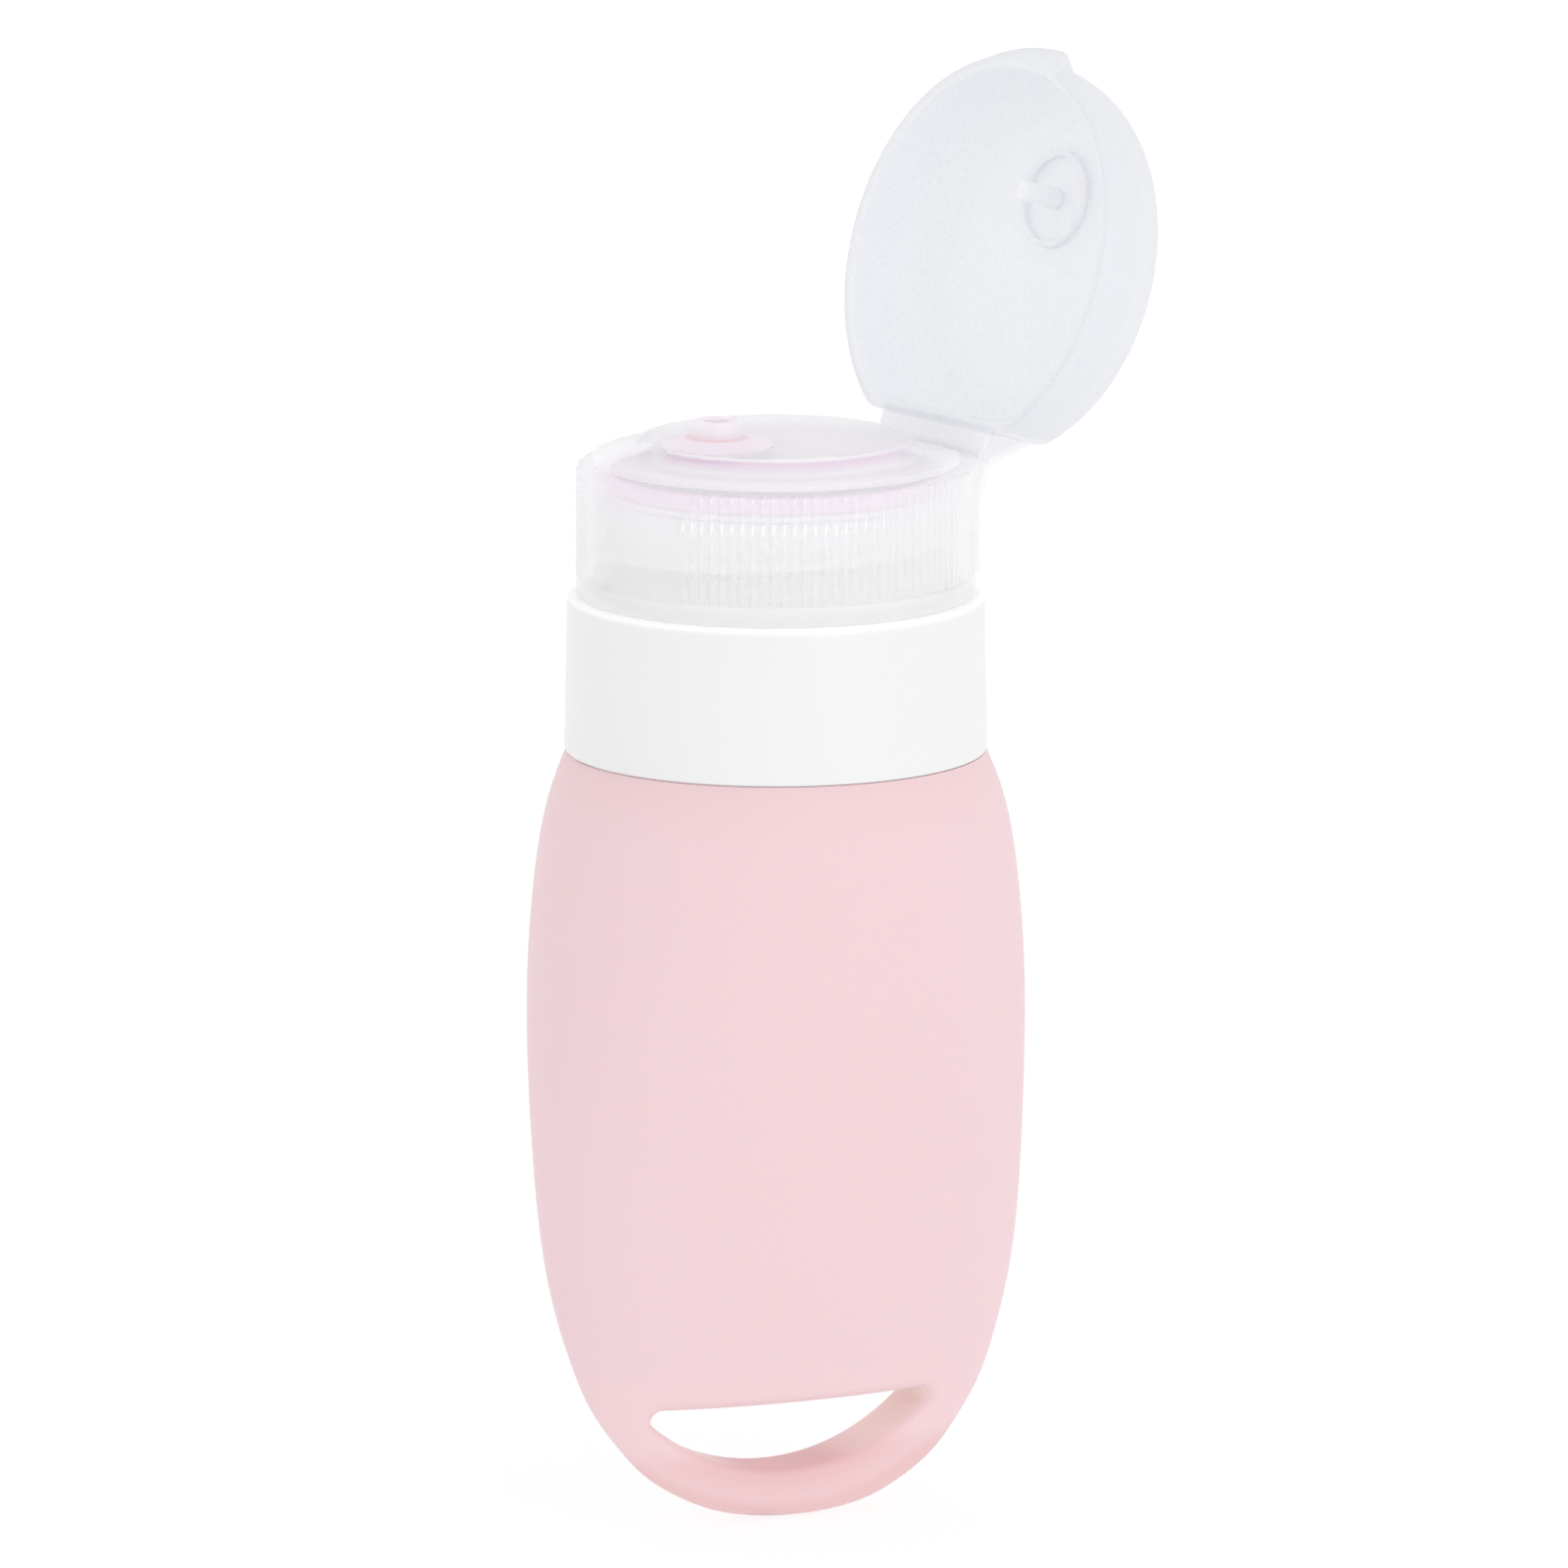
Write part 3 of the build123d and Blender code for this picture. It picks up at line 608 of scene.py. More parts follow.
def silicone_finish(name, finish):
    """Matte moulded silicone: even colour with faint clouds, a velvety grain and light that goes in. It is
    deeper in colour where its painted share of shade is high, which is painted shade low on the body under
    the slot and a little under the collar, and paler where the one called lit is, because light from behind
    gets through its thin edge there."""
    shading = Shading(name)
    clouded = shading.mixed(shading.noise(45.0, 3.0), finish.silicone, finish.silicone_cloud)
    deeper = shading.mixed(shading.painted("solid"), clouded, finish.loop)
    waves = shading.bump(shading.noise(90.0, 1.0), 0.00012, 0.35)
    return shading.finished(
        Base_Color=shading.mixed(shading.painted("lit"), deeper, LIT),
        Roughness=shading.ranged(shading.noise(160.0, 2.0), 0.46, 0.56),
        Normal=shading.bump(shading.noise(4200.0, 2.0), 0.00001, 0.5, under=waves),
        Subsurface_Weight=0.12,
        Subsurface_Radius=(1.0, 0.55, 0.5),
        Subsurface_Scale=0.003,
        IOR=1.41,
        Sheen_Weight=0.06,
        Sheen_Roughness=0.5,
    )


def gloss_finish(name, base):
    """Opaque moulded plastic: smooth, with slight sink waves and a little unevenness in its gloss. It is
    white where its painted share called glint is high."""
    shading = Shading(name)
    clouded = shading.mixed(shading.noise(60.0, 2.0), base, [0.985 * channel for channel in base])
    return shading.finished(
        Base_Color=shading.mixed(shading.painted("glint"), clouded, WHITE),
        Roughness=shading.ranged(shading.noise(240.0, 3.0), 0.24, 0.34),
        Normal=shading.bump(shading.noise(70.0, 1.0), 0.00010, 0.25),
        IOR=1.49,
    )


def milky_finish(name, base, blush, clarity, spread, glow_strength, rough, grain, contrast):
    """Translucent moulded plastic: milky, over a mould grain of a size and a depth. Each face lets a share
    of the light straight on, and spreads another share to its other side. Its emission is a painted glow
    that stands in for the light that has scattered about inside the wall. It is whiter and denser where its
    painted share called glint is high, which is painted highlight on edges and ribs and painted light on
    faces in shade. It takes its second colour where its other painted share is high: a painted pink glow
    on the cap's boss, and painted shade on the lid's dome."""
    shading = Shading(name)
    specks = shading.noise(grain[0], 3.0, roughness=0.6)
    lighter = [min(1.0, contrast * channel) for channel in base]
    plain = shading.mixed(shading.ranged(specks, -0.6, 1.6), base, lighter)
    glint = shading.painted("glint")
    whiter = shading.mixed(glint, shading.mixed(shading.painted("blush"), plain, blush), WHITE)
    flow = shading.bump(shading.noise(90.0, 1.0), 0.00004, 0.25)
    through = shading.add("ShaderNodeBsdfTranslucent", {"Color": whiter})
    both = shading.add("ShaderNodeMixShader", {0: spread, 1: shading.shader.outputs[0], 2: through})
    return shading.finished(
        both,
        Base_Color=whiter,
        Alpha=shading.ranged(glint, 1 - clarity, 1.0),
        Roughness=shading.ranged(shading.noise(180.0, 3.0), *rough),
        Normal=shading.bump(specks, grain[1], 0.5, under=flow),
        IOR=1.49,
        # Painted glow: an even emission stands in for the light scattered inside the wall
        Emission_Color=(*base, 1),
        Emission_Strength=glow_strength,
    )


def valve_finish(name, finish):
    """Clear pink silicone: pale where it is thin, pinker where its painted share called tint is high, and
    redder in the ring that is painted at the nozzle's root."""
    shading = Shading(name)
    tint = shading.painted("tint")
    pinker = shading.mixed(tint, finish.valve_pale, finish.valve)
    return shading.finished(
        Base_Color=shading.mixed(shading.painted("ring"), pinker, finish.valve_ring),
        Alpha=shading.ranged(tint, 0.7, 1.0),
        Roughness=shading.ranged(shading.noise(300.0, 2.0), 0.28, 0.40),
        Normal=shading.bump(shading.noise(3000.0, 2.0), 0.000006, 0.4),
        IOR=1.41,
        Subsurface_Weight=0.4,
        Subsurface_Radius=(1.0, 0.6, 0.7),
        Subsurface_Scale=0.002,
        # Painted glow: a faint emission stands in for light scattered inside the clear silicone
        Emission_Color=(*finish.valve_pale, 1),
        Emission_Strength=0.05,
    )


def foot_level(sizes, heights):
    """Heights as shares of the way from the foot's lowest point to the shoulder."""
    foot = FOOT_Z - sizes.sag
    return np.clip((heights - foot) / (SHOULDER_Z - foot), 0, 1)


def body_section(sizes, heights):
    """Half width and half depth of the body's oval at each height. The squares of both run through the
    shares on smooth splines, so that both start upright at the foot."""
    level = foot_level(sizes, heights)
    shares = np.vstack([BODY_SHARES, [1.0, sizes.shoulder_radius / sizes.half_width, 1.0]])
    squares = (spline(shares[:, 0], shares[:, column] ** 2, level) for column in (1, 2))
    width, depth = (np.sqrt(np.maximum(square, 0)) for square in squares)
    return sizes.half_width * width, sizes.shoulder_radius * depth


def body_lean(sizes, heights):
    """Sideways shift of the sections: lean times (1 - level)^3, so it fades out from the foot upwards."""
    return sizes.lean * (1 - foot_level(sizes, heights)) ** 3


def front_depth(sizes, x, z):
    """Depth of the body's front at points (x, z): half depth times the root of 1 - (x / half width)^2."""
    half_width, half_depth = body_section(sizes, z)
    across = (x - body_lean(sizes, z)) / np.maximum(half_width, 1e-9)
    return half_depth * np.sqrt(np.clip(1 - across**2, 0, 1))


def slot_floor(sizes):
    """Radius and centre height of the arc that is the slot's floor."""
    half = sizes.slot_length / 2 + sizes.slot_corner
    radius = (half**2 + sizes.slot_height**2) / (2 * sizes.slot_height)
    return radius, radius - sizes.slot_height / 2


def slot_outline(sizes):
    """Right half of the slot's outline from its lowest point to the middle of its ceiling, with the outward
    normals: a floor arc, a corner arc that touches both, and a straight ceiling in two stretches."""
    top = sizes.slot_height / 2
    radius, centre_z = slot_floor(sizes)
    corner_z = top - sizes.slot_corner
    corner_x = math.sqrt((radius - sizes.slot_corner) ** 2 - (centre_z - corner_z) ** 2)
    turns = (-QUARTER, math.atan2(corner_z - centre_z, corner_x), QUARTER)
    arcs = [np.linspace(turns[i], turns[i + 1], SKIN_COUNTS[i], endpoint=False) for i in (0, 1)]
    floor_way, corner_way = (stacked(np.cos(arc), np.sin(arc)) for arc in arcs)
    split = 0.64 * corner_x
    ceiling_x = np.concatenate([
        np.linspace(corner_x, split, SKIN_COUNTS[2], endpoint=False),
        np.linspace(split, 0, SKIN_COUNTS[3]),
    ])
    points = [
        np.array([0, centre_z]) + radius * floor_way,
        np.array([corner_x, corner_z]) + sizes.slot_corner * corner_way,
        stacked(ceiling_x, top),
    ]
    up = np.tile([0.0, 1.0], (len(ceiling_x), 1))
    return np.concatenate(points), np.concatenate([floor_way, corner_way, up])


def body_silhouette(sizes):
    """Right half of the body's outline, seen from the front, from the foot to the middle of the shoulder
    line, spaced to face the slot's outline."""
    foot = FOOT_Z - sizes.sag
    heights = foot + (SHOULDER_Z - foot) * np.linspace(0, 1, 4000) ** 2
    side = body_section(sizes, heights)[0]
    steps = np.linalg.norm(np.diff(stacked(side, heights), axis=0), axis=1)
    run = np.concatenate([[0], np.cumsum(steps)])
    stops = [0, *np.interp(SKIN_STOPS, heights, run), run[-1]]
    runs = np.concatenate([
        np.linspace(stops[i], stops[i + 1], SKIN_COUNTS[i], endpoint=False) for i in range(3)
    ])
    outline = stacked(np.interp(runs, run, side), np.interp(runs, run, heights))
    outline[0, 0] = 0
    top = stacked(np.linspace(sizes.shoulder_radius, 0, SKIN_COUNTS[3]), SHOULDER_Z)
    return np.concatenate([outline, top])


def mirrored(points):
    """Right half of an outline followed by its left half, which is the right half turned over."""
    return np.concatenate([points, points[-2:0:-1] * [-1.0, 1.0]])


def body_skin(sizes):
    """Outer skin of the body round the slot. Every point lies on a straight line, seen from the front, from
    a place on the slot's outline to its place on the body's outline. Its depth is the oval's. At the slot
    the wall is straight, with a quarter round at the rim."""
    slot, slot_way = (mirrored(part) for part in slot_outline(sizes))
    edge = mirrored(body_silhouette(sizes))
    edge[:, 0] += body_lean(sizes, edge[:, 1])
    turn = np.linspace(0, QUARTER, RIM_ROWS)
    ring = slot + slot_way * sizes.rim * (1 - np.cos(turn))[:, None, None]
    ring_depth = front_depth(sizes, *np.moveaxis(ring, -1, 0)) - sizes.rim * (1 - np.sin(turn))[:, None]
    start = slot + slot_way * sizes.rim
    sheet = start + (edge - start) * np.sin(np.linspace(0, QUARTER, SHEET_ROWS))[1:, None, None]
    sheet[-1] = edge
    sheet_depth = front_depth(sizes, *np.moveaxis(sheet, -1, 0))
    sheet_depth[-1, edge[:, 1] < SHOULDER_Z - WELD] = 0
    wall = np.linspace(0, 1, WALL_ROWS)[:-1, None]
    points = np.concatenate([np.repeat(slot[None], len(wall), axis=0), ring, sheet])
    depth = np.concatenate([wall * ring_depth[:1], ring_depth, sheet_depth])
    front = stacked(points[..., 0], -depth, points[..., 1])
    back = front[1:] * [1.0, -1.0, 1.0]
    return np.concatenate([back[::-1], front]), edge


def body_inside(sizes, edge):
    """Soft neck and hollow: rows of ovals on the columns of the shoulder's edge, up over the neck, down its
    bore and down the hollow to its floor."""
    shoulder = edge[np.abs(edge[:, 1] - SHOULDER_Z) < WELD][:, 0]
    front = np.arctan2(-np.sqrt(np.maximum(sizes.shoulder_radius**2 - shoulder**2, 0)), shoulder)
    angles = np.concatenate([front, -front[-2:0:-1]])
    floor_z = sizes.slot_height / 2 + sizes.floor
    low = np.linspace(SHOULDER_Z - 2 * sizes.wall, floor_z + sizes.wall, 40)
    bend = np.linspace(0, QUARTER, 6)[1:]
    heights = np.concatenate([
        [SHOULDER_Z, SHOULDER_Z, NECK_TOP_Z, NECK_TOP_Z, SHOULDER_Z - sizes.wall],
        low,
        low[-1] - sizes.wall * np.sin(bend),
        [floor_z],
    ])
    neck = [sizes.shoulder_radius, sizes.neck_radius, sizes.neck_radius, sizes.neck_bore, sizes.neck_bore]
    halves = [half - sizes.wall for half in body_section(sizes, low)]
    shrink = 1 - 0.25 * (1 - np.cos(bend))
    wide, deep = (np.concatenate([neck, half, half[-1] * shrink, [0]])[:, None] for half in halves)
    return stacked(wide * np.cos(angles), deep * np.sin(angles), heights[:, None])


def valve_corners(sizes, cap):
    """Corners (shift, radius, height, rounding) of the valve's closed section, from the bore's foot out
    under the roof and the flange, back over them, and up the cone to the nozzle and down its bore."""
    roof = BOSS_Z - cap.boss_roof - sizes.clearance
    inside = roof - sizes.wall
    flange_top = FLANGE_Z + sizes.flange
    wall = cap.boss_top - cap.boss_wall - sizes.clearance
    cone_top = BOSS_Z + sizes.cone_rise
    aside = -sizes.offset
    return [
        (aside, sizes.bore_radius, inside, 0.0002),
        (0, wall - sizes.wall, inside, 0.0006),
        (0, wall - sizes.wall, FLANGE_Z, 0.0002),
        (0, sizes.flange_radius, FLANGE_Z, 0.0004),
        (0, sizes.flange_radius, flange_top, 0.0004),
        (0, wall, flange_top, 0.0004),
        (0, wall, roof, 0.0005),
        (aside, sizes.cone_radius - sizes.hole_taper, roof, 0.0001),
        (aside, sizes.cone_radius, BOSS_Z, 0.0003),
        (aside, sizes.cone_top, cone_top, 0.0004),
        (aside, sizes.nozzle_radius, cone_top, 0.0003),
        (aside, sizes.nozzle_radius, NOZZLE_Z, 0.0005),
        (aside, sizes.bore_radius, NOZZLE_Z, 0.0003),
    ]


def collar_corners(sizes):
    """Corners of the collar's closed section."""
    inside = COLLAR_RADIUS - sizes.collar_wall
    lip = inside - sizes.collar_lip_reach
    lip_z = COLLAR_TOP_Z - sizes.collar_lip
    return [
        (0, inside, SHOULDER_Z, 0.0003),
        (0, COLLAR_RADIUS, SHOULDER_Z, 0.0005),
        (0, COLLAR_RADIUS - sizes.collar_taper, COLLAR_TOP_Z, 0.0009),
        (0, lip, COLLAR_TOP_Z, 0.0003),
        (0, lip, lip_z, 0.0002),
        (0, inside, lip_z, 0.0001),
    ]


def screw_ridge(sizes, heights, angles):
    """Share of the ridge's height on the inner wall: a trapezoid round the rising line start + pitch times
    turns, which fades in and out at its ends."""
    half_base, half_crest = sizes.thread_base / 2, sizes.thread_crest / 2
    ridge = np.zeros((len(heights), len(angles)))
    for lap in range(math.ceil(sizes.thread_turns)):
        wound = angles / WHOLE + lap
        centre = SKIRT_Z + sizes.thread_start + sizes.thread_pitch * wound
        ends = eased(wound / 0.03) * eased((sizes.thread_turns - wound) / 0.03)
        off = np.abs(heights[:, None] - centre)
        ridge = np.maximum(ridge, np.clip((half_base - off) / (half_base - half_crest), 0, 1) * ends)
    return ridge


def cap_rows(sizes, valve, angles):
    """Cap shell, as rows round its closed section. The radius is the profile's, with the ribs, the thumb
    patch, the hinge pad and the disc's flat as functions of the angle, and the screw ridge on the inner
    wall."""
    plate = PARTING_Z - sizes.shoulder_rise
    disc = PARTING_Z + sizes.disc_rise
    ribs_foot = SKIRT_Z + sizes.plain_band
    foot = SKIRT_Z - sizes.foot_drop
    skirt = sizes.skirt_radius
    bore = skirt - sizes.skirt_wall
    pad_out = skirt + sizes.pad_rise
    cosine, sine = np.cos(angles), np.sin(angles)
    foot_round, disc_round, step = 0.0002, 0.00025, 0.0003

    crest_end, flank = 0.35, 0.45
    rib = 1 - eased((off_rib(np.degrees(angles), sizes.rib_count) - crest_end) / flank)
    outer_z = np.linspace(ribs_foot, plate, 34)[:, None]
    across = np.abs(sine) * skirt
    slant = np.clip((outer_z - (plate - sizes.patch_slant)) / sizes.patch_slant, 0, 1)
    patch_half = (sizes.patch_width + (sizes.patch_top - sizes.patch_width) * slant) / 2
    off_patch = np.where(cosine < 0, eased((across - patch_half) / 0.0002 + 0.5), 1.0)
    pad = eased((sizes.pad_width / 2 - across) / 0.0004 + 0.5) * (cosine > 0)
    ribbed = skirt - sizes.rib_depth * (1 - rib * off_patch) * eased((outer_z - ribs_foot) / step)
    ribbed = ribbed + (pad_out - ribbed) * eased((outer_z - SKIRT_Z - sizes.pad_gap) / step) * pad

    turn = np.linspace(0, QUARTER, 9)[1:, None]
    way = turn / turn[-1]
    shoulder_r = skirt - sizes.shoulder_width * (1 - np.cos(turn))
    shoulder_z = plate + sizes.shoulder_rise * np.sin(turn)
    pad_top = PARTING_Z - 0.0003
    stops = [0, 0.25, 0.4, 0.85, 1]
    pad_r = np.interp(way, stops, [pad_out, pad_out, pad_out - 0.00025, 0.0189, shoulder_r[-1, 0]])
    pad_z = np.interp(way, stops, [plate, pad_top - 0.0002, pad_top, pad_top, PARTING_Z])
    over_top = sizes.rib_depth * (1 - rib * off_patch[-1]) * (1 - pad)
    shoulder_r = shoulder_r + (pad_r - shoulder_r) * pad - over_top * (1 - way) ** 0.7
    shoulder_z = shoulder_z + (pad_z - shoulder_z) * pad

    to_flat = np.where(cosine > 0.1, sizes.disc_flat / np.maximum(cosine, 0.1), 1.0)
    disc_edge = lesser(np.full_like(angles, sizes.disc_radius), to_flat, 0.0006)
    hole = valve.cone_radius + valve.hole_clearance
    roof = BOSS_Z - sizes.boss_roof
    inner_z = np.arange(plate - 0.0011, SKIRT_Z + 0.0004, -0.00034)
    boss_and_roof = turned_profile(
        [
            (0, sizes.boss_base + 0.0008, disc, 0),
            (0, sizes.boss_base, disc, 0.0005),
            (0, sizes.boss_top, BOSS_Z, 0.0005),
            (-valve.offset, hole, BOSS_Z, 0.00003),
            (-valve.offset, hole - valve.hole_taper, roof, 0.0001),
            (0, sizes.boss_top - sizes.boss_wall, roof, 0.0003),
            (0, sizes.boss_top - sizes.boss_wall, plate, 0.0003),
            (0, bore, plate, 0.0005),
            (0, bore, plate - 0.0008, 0),
        ],
        angles,
        closed=False,
        longest=0.0014,
        steps=4,
    )
    outer = [
        # Plain foot, ribs and shoulder, upwards
        (bore + step, foot),
        (skirt - 0.6 * foot_round, foot),
        (skirt - 0.1 * foot_round, foot + 0.3 * foot_round),
        (skirt, foot + foot_round),
        (skirt, SKIRT_Z + sizes.pad_gap - 0.0001),
        (skirt + sizes.pad_rise * pad, SKIRT_Z + sizes.pad_gap + 0.0002),
        (skirt + sizes.pad_rise * pad, ribs_foot - 0.0002),
        (ribbed, outer_z),
        (shoulder_r, shoulder_z),
        (disc_edge + 0.00003, PARTING_Z),
        # Disc
        (disc_edge, PARTING_Z + 0.00005),
        (disc_edge, disc - disc_round),
        (disc_edge - 0.32 * disc_round, disc - 0.32 * disc_round),
        (disc_edge - disc_round, disc),
    ]
    inner = [
        (bore - sizes.thread_height * screw_ridge(sizes, inner_z, angles), inner_z[:, None]),
        (bore, SKIRT_Z + step),
    ]
    outer, inner = (
        [round_surface(0, np.atleast_2d(radius), height, angles) for radius, height in part]
        for part in (outer, inner)
    )
    return np.concatenate([*outer, boss_and_roof, *inner])


def lid_rows(sizes, angles):
    """Lid shell from the crown's middle out over the dome, down the wall, round the rim and back inside.
    The shoulder is a quarter ellipse. A straight wall limits the radius to its distance over the angle's
    cosine, and the thumb lip pushes the radius out to a straight line that runs back into the round wall."""
    crown = sizes.radius - sizes.shoulder
    inside = sizes.radius - sizes.wall
    rise = sizes.height - sizes.straight
    turn = np.linspace(0, QUARTER, 44)[1:]
    back = turn[::-1][::2]
    rim_turn = np.linspace(0, QUARTER, 6)
    rim_low, rim_high = sizes.rim * (1 - np.cos(rim_turn)), sizes.rim * (1 - np.sin(rim_turn))
    wall = np.linspace(sizes.straight, sizes.rim, 10)[1:-1]
    # Radius, height and distance in from the outer skin
    outer = [
        (np.linspace(0, crown, 18), sizes.height, 0),
        (crown + sizes.shoulder * np.sin(turn), sizes.straight + rise * np.cos(turn), 0),
        (sizes.radius, wall, 0),
        (sizes.radius - rim_low, rim_high, rim_low),
    ]
    inner = [
        (inside + rim_high, rim_low, sizes.wall - rim_high),
        (inside, wall[::-1], sizes.wall),
        (
            crown - sizes.wall + sizes.shoulder * np.sin(back),
            sizes.straight + (rise - sizes.wall) * np.cos(back),
            sizes.wall,
        ),
        (np.linspace(crown - sizes.wall, 0, 14)[1:], sizes.height - sizes.wall, sizes.wall),
    ]
    outer, inner = (np.concatenate([stacked(*part) for part in parts]) for parts in (outer, inner))
    radius, height, inset = np.concatenate([outer, inner]).T[..., None]

    cosine, sine = np.cos(angles), np.sin(angles)
    to_wall = np.where(cosine > 0.1, (sizes.chord - inset) / np.maximum(cosine, 0.1), 1.0)
    limited = lesser(radius + 0 * to_wall, to_wall, sizes.corner)

    sideways = sine * sizes.lip_reach
    run_out = sizes.lip_bend * np.maximum(sideways + 0.75 * sizes.lip_end, 0) ** 2
    lip = np.where(cosine < -0.5, (sizes.lip_reach - run_out) / np.maximum(-cosine, 0.5), 0)
    lip = np.maximum(lip, sizes.radius) - sizes.radius
    sudden, slow = 0.0004, 0.003
    ended = eased((sideways + sizes.lip_end) / sudden + 0.5) * eased((2 * sizes.lip_end - sideways) / slow)
    over_height = np.clip((sizes.lip_height - height) / (0.8 * sizes.lip_height), 0, 1)
    over_height[len(outer):] = 0
    return round_surface(0, limited + lip * ended * over_height, PARTING_Z + sizes.gap + height, angles)


def lid_fittings(sizes, cap, valve):
    """Plug ring and pin under the crown, and the web that reaches the fold line, in the shut lid's place."""
    roof = PARTING_Z + sizes.gap + sizes.height - sizes.wall / 2
    ring_z = PARTING_Z + sizes.gap + sizes.height - sizes.wall - sizes.plug_rise
    pin_z = NOZZLE_Z - sizes.pin_depth
    aside = -valve.offset
    inner = sizes.plug_radius - sizes.plug_wall
    pin_radius = valve.bore_radius - sizes.pin_clearance
    ring = [
        (aside, inner, ring_z, 0.0002),
        (aside, sizes.plug_radius, ring_z, 0.0002),
        (aside, sizes.plug_radius, roof, 0),
        (aside, inner, roof, 0),
    ]
    pin = [
        (aside, 0, pin_z, 0),
        (aside, pin_radius, pin_z, 0.0004),
        (aside, pin_radius, roof, 0),
        (aside, 0, roof, 0),
    ]
    return [
        (turned_profile(ring, circle(RING_STEPS), longest=0.0006), True, True),
        (turned_profile(pin, circle(PIN_STEPS), closed=False, longest=0.0006), False, True),
        (hinge_web(sizes, cap), False, True),
    ]


def hinge_web(sizes, cap):
    """Web from the lid's straight wall to the fold line, as wide as the pad. Each row is a rounded
    rectangle whose height falls from the wall to the fold line."""
    root = sizes.chord - sizes.wall / 2
    tip = HINGE_REACH - sizes.film_radius + 0.00002
    along = np.linspace(0, 1, 12)[:, None]
    thick = sizes.web_root + (sizes.web_tip - sizes.web_root) * eased((along - 0.25) / 0.6)
    half = cap.pad_width / 2 - sizes.film_inset
    turn = circle(48)
    squareness = 0.12
    squared = [np.sign(way) * np.abs(way) ** squareness for way in (np.cos(turn), np.sin(turn))]
    z = PARTING_Z + sizes.gap + thick * (1 + squared[1]) / 2
    return capped(stacked(root + (tip - root) * along, half * squared[0], z))


def film_bar(sizes, cap):
    """Film on the fold line: a bead of the film's radius, drawn down into the pad, as long as the web."""
    half = cap.pad_width / 2 - sizes.film_inset
    turn = circle(32)
    under = np.sin(turn) < 0
    wider, deeper = np.where(under, 1.3, 1.0), np.where(under, 3.0, 1.0)
    x = HINGE_REACH + sizes.film_radius * np.cos(turn) * wider
    z = PARTING_Z + sizes.film_radius * deeper * np.sin(turn)
    return capped(stacked(x, np.linspace(-half, half, 60)[:, None], z))


def strap_path(sizes, cap):
    """Middle line (x, z) of the spring strap with the lid open: up the pad, bowed out, in to the wall."""
    half = sizes.strap_thickness / 2
    pad = cap.skirt_radius + cap.pad_rise
    foot = PARTING_Z - sizes.strap_drop
    cosine, sine = math.cos(LID_OPEN), math.sin(LID_OPEN)
    setback = HINGE_REACH - sizes.chord
    sunk = 0.2 * half
    end_x = HINGE_REACH - setback * cosine + sine * sizes.strap_reach + cosine * sunk
    end_z = PARTING_Z + setback * sine + cosine * sizes.strap_reach - sine * sunk
    corners = [
        (pad - half, 0, foot - sizes.strap_foot, 0),
        (pad + sunk, 0, foot - sizes.strap_foot / 3, 0.002),
        (pad + sizes.strap_bulge, 0, PARTING_Z - sizes.strap_fold, 0.0012),
        (end_x, 0, end_z, 0),
    ]
    return refined(softened(corners, closed=False, steps=12), 0.0003, closed=False)[:, [0, 2]]


